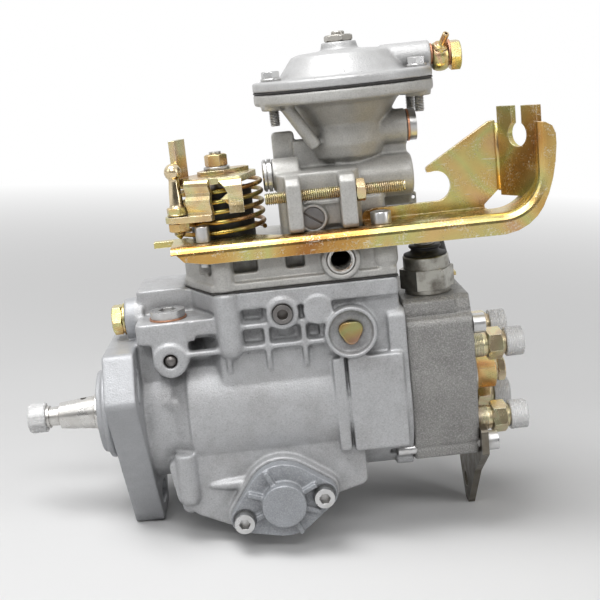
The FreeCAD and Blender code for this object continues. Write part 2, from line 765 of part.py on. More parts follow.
def cam_disc():
    body = Body("cam_disc")
    body.pad("X", CAM_X, 6, (0, 0, 30))
    lobe = body.pad("X", CAM_X - 1.6, 2, [(22, -7), (29.6, -3), (29.6, 3), (22, 7)])
    body.polar([lobe], "X", 4)
    node("cam_disc", body.body)


def distributor_plunger():
    end = HEAD_END - 8
    plunger = rod("X", PLUNGER_R, CAM_X + 6, end - CAM_X - 6)
    foot = rod("X", 8, CAM_X + 6, 4)
    port = rod("Z", 1.2, -6, 12, 122, 0)
    drill = rod("X", 1.2, 122, end - 121)
    node("distributor_plunger", cut(join(plunger, foot), port, drill))


# %% Governor

GOVERNOR_SHAFT_R = size("governor_shaft_radius", 4)
SLEEVE_X = size("governor_sleeve_start", 84)
SPOOL_X = size("control_spool_start", 112)
PIVOT_LOW = size("governor_lever_pivot_height", 22)


def governor():
    wheel = gear("flyweight_gear", GOVERNOR_TEETH)
    wheel.Placement = Placement(Vector(0, 0, number(GOVERNOR_Z)), Rotation())
    wheel.setExpression("Placement.Base.z", words(GOVERNOR_Z))
    back = GEAR_X + GEAR_WIDE
    cup = turned("X", [
        (back - 1, GOVERNOR_SHAFT_R + RUN), (back - 1, 12), (back + 1, 17.5), (back + 11.4, 17.5),
        (back + 11.4, 16.4), (back + 3, 16.4), (back + 3, GOVERNOR_SHAFT_R + RUN),
    ], 0, GOVERNOR_Z)
    windows = [spun(block((back + 4, back + 13), (-5, 5), (8, 19)), 90 * k, (1, 0, 0)) for k in range(4)]
    opening = put(group(*windows), Rotation(), 0, 0, GOVERNOR_Z)
    cage = join(wheel, cut(cup, opening))
    weights = []
    for k in range(4):
        weight = block((back + 4.2, back + 11), (-4.8, 4.8), (10, 17))
        toe = block((back + 4.2, back + 6.2), (-3, 3), (7.9, 11))
        weights.append(spun(join(weight, toe), 90 * k, (1, 0, 0)))
    node("flyweight_cage", group(cage, put(group(*weights), Rotation(), 0, 0, GOVERNOR_Z)))
    node("governor_sleeve", turned("X", [
        (back + 4, GOVERNOR_SHAFT_R + RUN), (back + 4, 7.6), (back + 6, 7.6), (back + 6, 6.4),
        (SLEEVE_X + 14, 6.4),
        (SLEEVE_X + 18.5, 4.5), (SLEEVE_X + 18.5, GOVERNOR_SHAFT_R + RUN),
    ], 0, GOVERNOR_Z))
    spool_start = SPOOL_X
    node("control_spool", turned("X", [
        (spool_start, PLUNGER_R + RUN), (spool_start, 9.5), (spool_start + 3.5, 9.5),
        (spool_start + 3.5, 7.5),
        (spool_start + 7.5, 7.5), (spool_start + 7.5, 9.5), (spool_start + 11, 9.5),
        (spool_start + 11, PLUNGER_R + RUN),
    ]))
    centre = spool_start + 5.5
    arm = prism("Y", -3, 6, [
        (centre - 1.6, 9), (centre + 1.6, 9), (centre + 2.5, 30), (SLEEVE_X + 24, 34), (SLEEVE_X + 24, 60),
        (SLEEVE_X + 21, 60), (SLEEVE_X + 21, 32), (centre - 2.5, 27),
    ])
    toe = ball(1.9, centre, 0, 9.5)
    hub = rod("Y", 4, -8, 16, centre, PIVOT_LOW)
    hole = rod("Y", 2 + RUN, -9, 18, centre, PIVOT_LOW)
    node("governor_lever", cut(join(arm, toe, hub), hole))
    pivot = rod("Y", 2, -30.7, 61.4, centre, PIVOT_LOW)
    node("governor_pins", group(rod("X", GOVERNOR_SHAFT_R, GOVERNOR_START - 10, 56, 0, GOVERNOR_Z), pivot))


# %% Distributor head

def distributor_head():
    outline = [
        (-HEAD_HALF, HEAD_TOP - 6), (-HEAD_HALF, 3), (-25, HEAD_FOOT), (25, HEAD_FOOT), (HEAD_HALF, 3),
        (HEAD_HALF, HEAD_TOP - 6), (HEAD_HALF - 6, HEAD_TOP), (-HEAD_HALF + 6, HEAD_TOP),
    ]
    block_body = rounded("X", HOUSING_END, HEAD_END - HOUSING_END, 3.5, outline)
    overhang = HEAD_HALF + 1.2
    ledge = rounded("X", HOUSING_END, 26, 2, rectangle((-overhang, overhang), (HEAD_TOP - 9, HEAD_TOP)))
    spigot = rod("X", SPIGOT_R - FIT, HOUSING_END - 12, 13)
    rear_boss = rod("X", 31, HEAD_END - 1, 2)
    bore = rod("X", BARREL_R, HOUSING_END - 22, HEAD_END - HOUSING_END + 25)
    outlets = [rod("X", 5.6, HEAD_END - 14, 18, y * VALVE_AT, z * VALVE_AT) for y in (-1, 1) for z in (-1, 1)]
    screws = [rod("X", M6 + FIT, HOUSING_END - 1, HEAD_END - HOUSING_END + 4, y, z) for y, z in HEAD_SCREWS]
    stop_bore = rod("Z", 9.6, HEAD_TOP - 12, 14, SOLENOID_X, SOLENOID_Y)
    needle = rod("Z", 3, 16, 24, SOLENOID_X, SOLENOID_Y)
    solid = join(block_body, ledge, spigot, rear_boss)
    node("distributor_head", cut(solid, bore, *outlets, *screws, stop_bore, needle))
    barrel = rod("X", BARREL_R - 0.02, HOUSING_END - 20, HEAD_END - HOUSING_END + 12)
    inner = rod("X", PLUNGER_R + RUN, HOUSING_END - 21, HEAD_END - HOUSING_END + 14)
    node("plunger_barrel", cut(barrel, inner))


SOLENOID_X = size("solenoid_x", 165)
SOLENOID_Y = size("solenoid_y", -16)
SOLENOID_BASE = size("solenoid_base", 50.2)
PLATE_CORNER = size("support_plate_corner", 2)
SUPPORT_HOLE_R = size("support_hole_radius", 4.3)


def head_fittings():
    face = HEAD_END + 1
    plug_hex = hexagon("X", 19, face + 3.2, 9)
    plug = join(rod("X", 11.4, face, 3.2), plug_hex, rod("X", 8.9, face - 6, 7))
    node("head_plug", cut(plug, rod("X", 4 + FIT, face - 7, 22)))
    node("bleed_screw", join(hexagon("X", 12, face + 12.3, 4.6, 0, 0, 30), rod("X", 4, face - 2, 15)))
    holders = []
    caps = []
    for y in (-1, 1):
        for z in (-1, 1):
            centre = (y * VALVE_AT, z * VALVE_AT)
            base = rod("X", 6.6, face, 8, *centre)
            flats = hexagon("X", VALVE_HEX, face + 7.8, 9.6, *centre)
            thread = rod("X", 6, face + 17, 9, *centre)
            shank = rod("X", 5.5, face - 12, 13, *centre)
            drill = rod("X", 1.5, face - 13, 40, *centre)
            holders.append(cut(join(base, flats, thread, shank), drill))
            cap = join(rod("X", 7.8, face + 18.4, 9.6, *centre), rod("X", 6.4, face + 27, 1.6, *centre))
            caps.append(cut(cap, rod("X", 6 + FIT, face + 18, 8.8, *centre)))
    node("delivery_valve_holders", group(*holders))
    node("outlet_caps", group(*caps))


def socket_screw(axis, face, along_sign, length, u, v, radius=M6):
    """Socket head screw. The head stands on face and the shank goes the other way."""
    head_r, head_high = radius * (5 / 3), radius * 2
    start = face if along_sign > 0 else face - head_high
    shank = face - length if along_sign > 0 else face - 0.5
    head = rod(axis, head_r, start, head_high, u, v)
    recess = face + radius * 0.8 if along_sign > 0 else face - head_high - 0.1
    socket = hexagon(axis, radius * 1.6667, recess, radius * 1.2 + 0.1, u, v)
    return cut(join(head, rod(axis, radius, shank, length + 0.5, u, v)), socket)


def head_screws():
    screws = []
    for y, z in HEAD_SCREWS:
        on_plate = z < 0
        on_clip = number(y) > 0 and z > 0
        face = HEAD_END + (PLATE_THICK if on_plate else 2 if on_clip else 0)
        length = 42 + (PLATE_THICK if on_plate else 2 if on_clip else 0)
        screws.append(socket_screw("X", face, 1, length, y, z))
    node("head_screws", group(*screws))


def rear_support_plate():
    body = Body("rear_support_plate")
    outline = [
        (-39, -20), (-39, -33), (-13, -52), (14, -81.6), (22, -81.6), (40, -48), (46, -33), (46, -20),
        (27.4, -20),
        (27.4, -23), (24, -29), (22, -34), (-22, -34), (-24, -29), (-27.4, -23), (-27.4, -20),
    ]
    body.pad("X", HEAD_END, PLATE_THICK, outline)
    body.fillet(PLATE_CORNER, runs("X"))
    holes = [(y, z, M6 + 0.3) for y, z in HEAD_SCREWS if z < 0]
    body.pocket("X", HEAD_END - 1, PLATE_THICK + 2, *holes, (17, -68.4, SUPPORT_HOLE_R))
    node("rear_support_plate", body.body)


# %% Shut-off solenoid

def solenoid():
    x, y = SOLENOID_X, SOLENOID_Y
    base = SOLENOID_BASE
    inside = 4
    case = turned("Z", [
        (base - 11, inside + 0.4), (base - 11, 9.4), (base, 9.4), (base, 11.6), (base + 2, 11.6),
        (base + 2, 11.9),
        (base + 5, 11.9), (base + 5, 11.2), (base + 11, 11.2), (base + 11, 11.6), (base + 18.5, 11.6),
        (base + 19.3, 10.6), (base + 19.3, 0), (base + 16, 0), (base + 16, inside + 0.4),
    ], x, y)
    flats = cut(hexagon("Z", 24, base + 2.5, 10, x, y), rod("Z", inside + 0.4, base, 14, x, y))
    node("solenoid_body", join(case, flats))
    boot_low = base + 19.4
    node("solenoid_boot", turned("Z", [
        (boot_low, 3), (boot_low, 11.2), (boot_low + 1.6, 10.6), (boot_low + 3.2, 6.6), (boot_low + 4.4, 6.2),
        (boot_low + 5.2, 8.4), (boot_low + 6.6, 8), (boot_low + 6.8, 3),
    ], x, y))
    stud = rod("Z", 2.4, boot_low, 10.8, x, y)
    node("solenoid_terminal", join(stud, hexagon("Z", 8, boot_low + 6.9, 3.4, x, y)))
    tip = turned("Z", [(18, 0), (21, 2.4), (40, 2.4), (40, inside), (base + 10, inside), (base + 10, 0)],
        x, y)
    node("solenoid_armature", tip)


# %% Timing covers

def timing_cover(name, side):
    thick = 6.5
    start = -TIMING_FACE - thick if side < 0 else TIMING_FACE
    plate = join(*cover_outline(start, thick))
    boss_r = 11
    boss_high = 6.5
    boss_start = start - boss_high if side < 0 else start + thick - 0.5
    boss = rod("Y", boss_r, boss_start, boss_high + 0.5, TIMING_X, TIMING_Z)
    ribs = []
    rib_start = start - 2.5 if side < 0 else start + thick - 0.5
    for angle in (20, 65, 155, 200, 245, 335):
        rib = block((TIMING_X + 10, TIMING_X + 18.5), (rib_start, rib_start + 3),
            (TIMING_Z - 1.3, TIMING_Z + 1.3))
        ribs.append(spun(rib, angle, (0, 1, 0), TIMING_X, 0, TIMING_Z))
    holes = []
    for x, z in TIMING_SCREWS:
        holes.append(rod("Y", M6 + FIT, start - 1, thick + 2, x, z))
        sink = start - 3 if side < 0 else start + thick - 0.8
        holes.append(rod("Y", 6, sink, 3.8, x, z))
    hollow = rod("Y", 9, start + 1.5 if side < 0 else start - 1, thick, TIMING_X, TIMING_Z)
    node(name, cut(join(plate, boss, *ribs), *holes, hollow))


def timing_spring():
    lie = Rotation(Vector(1, 0, 0), -90)
    half = PISTON_HALF
    item = coil("timing_spring", 0, 0, half - 11.6, TIMING_FACE + 4.5, 6, 1, 7, 12)
    item.Placement = Placement(Vector(number(TIMING_X), 0, number(TIMING_Z)), lie)
    node("timing_spring", item)


# %% Plugs on the housing

def housing_plugs():
    plug_low = SHELF_TOP + 0.9
    inlet = join(rod("Z", 8.5, plug_low, 3.6, INLET_X, INLET_Y),
        rod("Z", 6, SHELF_TOP - 10, 11, INLET_X, INLET_Y))
    socket = hexagon("Z", 8, plug_low + 1.6, 3, INLET_X, INLET_Y)
    node("inlet_plug", cut(inlet, socket))
    end = BOLT_BOSS_START
    bolt = join(
        hexagon("X", 14, end - 6.9, 5.4, BOLT_Y, BOLT_Z, 30),
        rod("X", 8.2, end - 1.5, 1.5, BOLT_Y, BOLT_Z),
        rod("X", 5, end - 1, 12, BOLT_Y, BOLT_Z),
    )
    node("inlet_bolt", bolt)
    ball_plug = ball(3.4, BALL_PLUG_X, -RIB_FACE + 3.2, BALL_PLUG_Z)
    ring = turned("Y", [(-44.8, 2.7), (-44.8, 4.7), (-36, 4.7), (-36, 0), (-41, 0), (-41, 2.7)],
        RING_PLUG_X, PLUG_Z)
    far_plug = rod("Y", PIVOT_BORE - 0.1, PIVOT_FACE - 3.9, 2.4, PIVOT_X, PIVOT_Z)
    plug = rod("Y", 5.25, -TOWER_FACE - 6.3, 6, SLOT_PLUG_X, SLOT_PLUG_Z)
    slot = block(
        (SLOT_PLUG_X - 6, SLOT_PLUG_X + 6), (-TOWER_FACE - 7, -TOWER_FACE - 5.2),
        (SLOT_PLUG_Z - 0.6, SLOT_PLUG_Z + 0.6),
    )
    slotted = cut(plug, spun(slot, 35, (0, 1, 0), SLOT_PLUG_X, 0, SLOT_PLUG_Z))
    node("core_plugs", group(ball_plug, ring, far_plug, slotted))
    lobes = []
    for angle in (100, 220, 340):
        c, s = math.cos(math.radians(angle)), math.sin(math.radians(angle))
        lobes.append(rod("Y", 4.6, -PIVOT_FACE + 1.2, 2.8, PIVOT_X + 2.6 * c, PIVOT_Z + 2.6 * s))
    shank = rod("Y", 5, -PIVOT_FACE + 2, 14, PIVOT_X, PIVOT_Z)
    node("pivot_plug", join(shank, rod("Y", 5.4, -PIVOT_FACE + 1.2, 2.8, PIVOT_X, PIVOT_Z), *lobes))


# %% Governor cover and gasket

COVER_LOW = SEAM + GASKET
DECK = size("cover_deck", 84)
TOWER_START = size("tower_start", 93.5)
TOWER_TOP = size("tower_top", 118)
TOWER_FACE = size("tower_face", 31)
LUG_FACE = size("screw_lug_face", 44.5)
SPEED_Y = size("speed_screw_y", -39)
SPEED_Z = size("speed_screw_z", 108.2)
PORT_X = size("port_x", 120.4)
PORT_Z = size("port_z", 75.9)
PORT_FACE = size("port_face", 44.5)
SLOT_PLUG_X = size("slotted_plug_x", 109.3)
SLOT_PLUG_Z = size("slotted_plug_z", 96.4)
BRACKET_BOLT = (size("bracket_bolt_x", 142), size("bracket_bolt_y", -36))
STOP_AT = (FRONT_SCREW_X - 7.5, size("stop_sleeve_y", -40.5))
BOSS_TOP = size("lever_boss_top", 113)
BOWL_BORE = size("bowl_bore", 17)
SIDE_PLUG_Z = size("side_plug_z", 134.2)
LEFT_BOSS_Z = size("left_boss_z", 117)
LEFT_BOSS_Y = size("left_boss_y", -14)


def cover_gasket():
    body = Body("cover_gasket")
    body.pad("Z", SEAM, GASKET, plan(RIB_FACE))
    body.pocket("Z", SEAM - 1, GASKET + 2, rectangle((GOVERNOR_START, GOVERNOR_END),
        (-GOVERNOR_HALF, GOVERNOR_HALF)))
    body.pocket("Z", SEAM - 1, GASKET + 2, *[(x, y, M5 + 0.4) for x, y in COVER_SCREWS])
    node("cover_gasket", body.body)


def boost_screw_spots():
    spots = []
    for angle in (BOOST_SCREW_ANGLE, 180 - BOOST_SCREW_ANGLE, 180 + BOOST_SCREW_ANGLE, -BOOST_SCREW_ANGLE):
        c, s = math.cos(math.radians(angle)), math.sin(math.radians(angle))
        spots.append((BOOST_X + BOOST_BC * c, BOOST_BC * s))
    return spots


def strut(radius, start, end):
    """Round rib between two points."""
    line = Vector(*map(number, end)) - Vector(*map(number, start))
    item = drive(new("Part::Cylinder", "Strut"), Radius=radius, Height=line.Length)
    return put(item, Rotation(Vector(0, 0, 1), line), *start)


def cover_solids():
    base = rounded("Z", COVER_LOW, DECK - COVER_LOW, 3, plan(RIB_FACE - 2.5, 1))
    lip = rounded("Z", COVER_LOW, 4, 2, plan(RIB_FACE - 0.3))
    tower = rounded("Z", DECK - 2, TOWER_TOP - DECK + 2, 5, rectangle((TOWER_START, 134),
        (-TOWER_FACE, TOWER_FACE)))
    back = rounded("Z", DECK - 2, 20, 4, rectangle((124, 147), (-17, TOWER_FACE)))
    wall = block((TOWER_START + 11, 123), (-TOWER_FACE - 3, -20), (92, 103))
    lever_boss = rod("Z", 8, DECK - 1, BOSS_TOP - DECK + 1, LEVER_X, LEVER_Y)
    port = rod("Y", 9.5, -PORT_FACE, 12, PORT_X, PORT_Z)
    bolt_boss = rod("Z", 6.8, 72, BRACKET_TOP - SHEET_THICK - 72, *BRACKET_BOLT)
    bolt_end = ball(6.8, *BRACKET_BOLT, 73.5)
    left_seat = rod("Z", 5.6, DECK - 10, BRACKET_TOP - SHEET_THICK - DECK + 10, STOP_AT[0], STOP_AT[1] + 3.5)
    barrel = rod("X", 10.5, 124, 38.3, -8, 110)
    web = block((TOWER_START + 10, 161), (-7, 7), (106, 132))
    ear = rounded("Y", -4, 8, 2, rectangle((TOWER_START, 105), (112, 137)))
    left_boss = rod("X", 8, 91.8, 14, LEFT_BOSS_Y, LEFT_BOSS_Z)
    slot_boss = rod("Y", 7.2, -TOWER_FACE - 6.5, 12, SLOT_PLUG_X, SLOT_PLUG_Z)
    tag = block((161, 165), (-2, 0), (93.5, 100))
    tag_arm = block((140, 162), (-4, 2), (94, 104))
    return [base, lip, tower, back, wall, lever_boss, port, bolt_boss, bolt_end, left_seat, barrel, web, ear,
            left_boss, slot_boss, tag, tag_arm]


def cover_lugs():
    lugs = []
    for first, last, high in ((97.2, 104.6, 117), (122.9, 130.7, 116.6)):
        outline = [
            (-LUG_FACE + 1.5, 91), (-LUG_FACE, 93), (-LUG_FACE, high - 3), (-LUG_FACE + 3, high),
            (-26, high), (-26, 91),
        ]
        lugs.append(prism("X", first, last - first, outline))
    return lugs


def boost_bowl():
    bowl = turned("Z", [
        (112, 0), (112, 8), (117, 10), (122, 17.5), (128.5, 20.2), (138.5, 20.6), (144, 24), (148.6, 27),
        (150.4, 30), (150.6, BOOST_R - 1), (151.6, BOOST_R), (BOOST_SEAM - 0.4, BOOST_R),
        (BOOST_SEAM - 0.4, 0),
    ], BOOST_X, 0)
    lugs = [rod("Z", 6.2, 148.4, BOOST_SEAM - 0.4 - 148.4, *spot) for spot in boost_screw_spots()]
    side = rod("X", 8.6, 144, 17.8, -5, SIDE_PLUG_Z)
    ribs = [strut(3.2, (102, y, 150), (115, y * 0.75, 129)) for y in (-21, 21)]
    return [bowl, side, *lugs, *ribs]


def cover_hollows():
    tools = [
        block((GOVERNOR_START + 3, GOVERNOR_END - 2), (-28, 28), (COVER_LOW - 1, DECK - 5)),
        rod("Z", 5 + RUN, DECK - 20, 60, LEVER_X, LEVER_Y),
        rod("Z", BOWL_BORE, 127, 40, BOOST_X, 0),
        rod("Z", 26, 149, 20, BOOST_X, 0),
        rod("Z", 3 + RUN, DECK - 10, 60, BOOST_X, 0),
        rod("Y", 7.05, -PORT_FACE - 1, 18, PORT_X, PORT_Z),
        rod("Y", 5.3, -TOWER_FACE - 7.5, 8, SLOT_PLUG_X, SLOT_PLUG_Z),
        rod("X", M6 + FIT, 90, 50, SPEED_Y, SPEED_Z),
        rod("X", 7, 154, 9, -5, SIDE_PLUG_Z),
        rod("X", 6.6, 90, 10, LEFT_BOSS_Y, LEFT_BOSS_Z),
        rod("Z", M6 + FIT, 76, 14, *BRACKET_BOLT),
        rod("Z", M5 + FIT, 76, 14, STOP_AT[0], STOP_AT[1] + 3.5),
        rod("Y", 1.1, -3, 4, 163.2, 97),
    ]
    tools += [rod("Z", M5 + FIT, 140, 20, *spot) for spot in boost_screw_spots()]
    for x, y in COVER_SCREWS:
        tools += [rod("Z", M5 + FIT, COVER_LOW - 1, 30, x, y), rod("Z", 5.4, 78, 20, x, y)]
    for first, last in ((48, 80), (94, 103)):
        tools.append(block((first, last), (-RIB_FACE, -34), (74, 80.5)))
    return tools


def governor_cover():
    solids = cover_solids() + cover_lugs() + boost_bowl()
    node("governor_cover", cut(join(*solids), *cover_hollows()))
    screws = [socket_screw("Z", 78, 1, 24, x, y, M5) for x, y in COVER_SCREWS]
    for x, z in TIMING_SCREWS:
        screws.append(socket_screw("Y", -TIMING_FACE - 5.7, -1, 16, x, z))
        screws.append(socket_screw("Y", TIMING_FACE + 5.7, 1, 16, x, z))
    node("cover_screws", group(*screws))


def cover_fittings():
    sleeve = cut(rod("Y", 7, -PORT_FACE + 0.6, 15, PORT_X, PORT_Z),
        rod("Y", 5, -PORT_FACE, 18, PORT_X, PORT_Z))
    node("return_port", sleeve)
    nut = cut(hexagon("X", 10, 130.75, 4.6, SPEED_Y, SPEED_Z, 30),
        rod("X", M6 + FIT, 130, 8, SPEED_Y, SPEED_Z))
    node("speed_screw", group(rod("X", M6, 87, 67.5, SPEED_Y, SPEED_Z), nut))
    left = turned("X", [
        (87.2, 0), (87.2, 7), (88, 8), (89.2, 8), (89.2, 7), (89.8, 7), (89.8, 8.2), (91.8, 8.2), (91.8, 6.5),
        (98, 6.5), (98, 0),
    ], LEFT_BOSS_Y, LEFT_BOSS_Z)
    right = join(rod("X", 7.8, 163.0, 3.4, -5, SIDE_PLUG_Z), rod("X", 6.9, 155, 8.5, -5, SIDE_PLUG_Z))
    node("side_plugs", group(left, right))


# %% Boost compensator

def boost_parts():
    x = BOOST_X
    top = BOOST_SEAM + 0.4
    lid = Body("BoostLid")
    profile = [
        (0, top), (BOOST_R, top), (BOOST_R, top + 4.2), (BOOST_R - 1, top + 4.9), (33, top + 4.9),
        (31.7, top + 6),
        (24.6, top + 15.2), (21, top + 16.4), (9.5, top + 17.2), (8.6, top + 21), (0, top + 21),
    ]
    sketch = lid.sketch("Y", 0, [[(u, v) for u, v in profile]])
    spin = lid.body.newObject("PartDesign::Revolution", "Dome")
    spin.Profile = sketch
    spin.ReferenceAxis = (sketch, ["V_Axis"])
    spin.Angle = 360
    sketch.Visibility = False
    lid.body.setExpression("Placement.Base.x", words(x))
    inside = turned("Z", [(top - 1, 0), (top - 1, 29), (top + 5, 28.5), (top + 13.6, 22), (top + 13.6, 0)],
        x, 0)
    boss = rod("X", 6.9, x + 20, 24.3, -4, 167.8)
    stud_hole = rod("Z", 3.4, top, 24, x, 0)
    air = rod("X", 4.1, x + 16, 30, -4, 167.8)
    holes = [rod("Z", M5 + FIT, top - 1, 8, *spot) for spot in boost_screw_spots()]
    pads = [rod("Z", 5.6, top, 5.2, *spot) for spot in boost_screw_spots()]
    node("boost_cover", cut(join(lid.body, boss, *pads), inside, stud_hole, air, *holes))
    sheet = BOOST_SEAM - 0.35
    rubber = cut(rod("Z", BOOST_R, sheet, 0.7, x, 0), rod("Z", 20.5, sheet - 1, 3, x, 0), *[
        rod("Z", M5 + FIT, sheet - 1, 3, *spot) for spot in boost_screw_spots()])
    node("boost_diaphragm", rubber)
    screws = []
    head = top + 5.3
    for spot in boost_screw_spots():
        shank = rod("Z", M5, 141, head - 140.5, *spot)
        screws.append(join(hexagon("Z", 8, head, 4.6, *spot), rod("Z", 4.9, head, 1.2, *spot), shank))
    node("boost_cover_screws", group(*screws))
    cap = top + 21
    node("boost_adjuster", join(hexagon("Z", 13, cap, 3.4, x, 0), rod("Z", 3.35, cap - 7, 12.3, x, 0)))
    plate = turned("Z", [
        (152.6, 0), (152.6, 12), (154.8, 12), (154.8, 19.6), (157.6, 19.6), (158.6, 18), (158.6, 0),
    ], x, 0)
    pin = turned("Z", [(96, 0), (96, 2.2), (98, 3), (110, 3), (113, 2.2), (120, 2.2), (123, 3), (153, 3),
        (153, 0)], x, 0)
    node("boost_pin", join(plate, pin))
    node("boost_spring", coil("boost_spring", x, 0, 127.3, 152.3, 14, 1.1, 6, 14))


def banjo():
    y, z = -4, 167.8
    face = BOOST_X + 44.3
    pipe = strut(1.6, (BOOST_X + 49, y - 5, z + 1.2), (BOOST_X + 51.4, y - 11, z + 7.7))
    ring = cut(join(rod("X", 6.4, face + 1.2, 7.8, y, z), pipe), rod("X", 4.1, face, 12, y, z))
    bolt = join(hexagon("X", 12, face + 10.1, 5.2, y, z, 30), rod("X", 4, face - 6, 17, y, z))
    node("boost_banjo", group(ring, bolt))
    washers = [
        cut(rod("X", 5.2, face + 0.1, 1, y, z), rod("X", 4.1, face - 1, 3, y, z)),
        cut(rod("X", 6.4, face + 9.05, 1, y, z), rod("X", 4.1, face + 8, 3, y, z)),
        cut(rod("X", 8.1, 161.9, 1, -5, SIDE_PLUG_Z), rod("X", 7, 161, 3, -5, SIDE_PLUG_Z)),
        cut(rod("Z", 9.2, SHELF_TOP + 0.05, 0.8, INLET_X, INLET_Y),
        rod("Z", 6.1, SHELF_TOP - 1, 3, INLET_X, INLET_Y)),
    ]
    node("copper_washers", group(*washers))


# %% Cable bracket

BEND_R = size("sheet_bend_radius", 4.2, "outside radius of the bend along the bracket's front")
CORNER_X = size("bracket_corner_x", 199.1)
CORNER_R = size("bracket_corner_radius", 18, "inside radius where the deck turns up")
NOTCH_R = size("fin_notch_radius", 7.6)


def bend_line(radius, steps=5):
    """Quarter circle between the deck's top and the lip's face, as (Y, depth under the deck's top)."""
    points = []
    for i in range(steps + 1):
        angle = math.radians(90 * i / steps)
        points.append((BRACKET_FRONT + BEND_R - radius * math.sin(angle), BEND_R - radius * math.cos(angle)))
    return points


def sheet_section(deck_end, lip_depth):
    """Section of the bent sheet: deck, rounded bend and lip."""
    outer = bend_line(BEND_R)
    inner = bend_line(BEND_R - SHEET_THICK)[::-1]
    lip = [(BRACKET_FRONT, lip_depth), (BRACKET_FRONT + SHEET_THICK, lip_depth)]
    return [(deck_end, 0)] + outer + lip + inner + [(deck_end, SHEET_THICK)]


def bent_sheet():
    """Deck, corner and upright with one section, before they are trimmed to their outlines."""
    top, high = BRACKET_TOP, BRACKET_TOP + CORNER_R
    deck = prism("X", 33, CORNER_X - 33, [(y, top - d) for y, d in sheet_section(-17, 14)])
    section = sheet_section(-27, 26)
    ring = turned("Y", [(y, CORNER_R + d) for y, d in section], CORNER_X, high)
    quarter = block((CORNER_X, CORNER_X + 60), (-60, 0), (high - 60, high))
    upright = prism("Z", high, 26, [(CORNER_X + CORNER_R + d, y) for y, d in section])
    return join(deck, shared(ring, quarter), upright)


def cable_bracket():
    low, top = BRACKET_TOP - SHEET_THICK, BRACKET_TOP
    face = prism("Y", BRACKET_FRONT - 1, 40, [
        (33, top + 1), (33, low - 0.4), (42.6, low - 0.4), (46, 83.4), (57, 81.4), (199.5, 80.5), (206, 81.8),
        (211, 84.2), (215.4, 87.8), (218.5, 92), (221.3, 98), (223.6, 105), (225.2, 113), (226, 121),
        (225.9, 126),
        (224.4, 129.6), (221.2, 131.6), (214.6, 132.4), (186, 132.4), (186, top + 1),
    ])
    plan_view = prism("Z", 60, 90, [
        (34, -22), (40, -22), (40, -50), (230, -50), (230, -27), (196, -27), (196, BRACKET_BACK),
        (134, BRACKET_BACK), (134, -38.5), (93, -38.5), (84, -32), (76, -25), (52, -25), (46, -17), (34, -17),
    ])
    sheet = shared(shared(bent_sheet(), face), plan_view)
    fin = prism("Y", BRACKET_BACK, SHEET_THICK, [
        (134, low), (134, 92.2), (136, 94.8), (140, 95.8), (172.2, 96), (172.2, 110.8), (168.3, 110.8),
        (167.9, 112.6), (168.6, 113.6), (200.4, 132.6), (203.4, 133), (204.4, 128.2), (204, 99.2),
        (200, 95.6),
        (196, 91.9), (196, low),
    ])
    fin = cut(fin, rod("Y", NOTCH_R, BRACKET_BACK - 1, 5, 172.2, 103.5))
    run = Vector(14, -23, 0).normalize()
    side = Vector(-run.y, run.x, 0) * -number(SHEET_THICK)
    start = Vector(204.4, -21.5, 0)
    end = start + run * 26.6
    corners = [(p.x, p.y) for p in (start, end, end - side, start - side)]
    wall = prism("Z", 96, 43.6, corners)
    keyhole = [rod("Y", 6.1, -60, 60, 0, 126), block((-3.25, 3.25), (-60, 0), (126, 150))]
    middle = start + run * 13.2
    angle = math.degrees(math.atan2(run.y, run.x))
    tool = new("Part::Compound", "Keyhole")
    tool.Links = keyhole
    tool.Placement = Placement(middle, Rotation(Vector(0, 0, 1),
        angle)).multiply(Placement(Vector(0, 30, 0), Rotation()))
    holes = [
        rod("Z", M6 + 0.3, low - 1, 5, *BRACKET_BOLT),
        rod("Z", M5 + 0.3, low - 1, 5, STOP_AT[0], STOP_AT[1] + 3.5),
    ]
    holes.append(rod("Z", SPOOL_R + SEAT, low - 1, 5, LEVER_X, LEVER_Y))
    node("cable_bracket", cut(join(sheet, fin, wall), tool, *holes))
    stop = join(rod("Z", 3.4, BRACKET_TOP, 8, STOP_AT[0], STOP_AT[1] + 3.5),
        rod("Z", M5, 78, 14, STOP_AT[0], STOP_AT[1] + 3.5))
    node("bracket_screws", group(socket_screw("Z", BRACKET_TOP, 1, 13, *BRACKET_BOLT), stop))


# %% Throttle lever

SPOOL_R = size("spring_spool_radius", 16)
BALL_X = size("ball_stud_x", 44.5)
BALL_Y = size("ball_stud_y", -33)
BALL_Z = size("ball_stud_z", 125.2)
END_TOP = size("lever_end_top", 104)


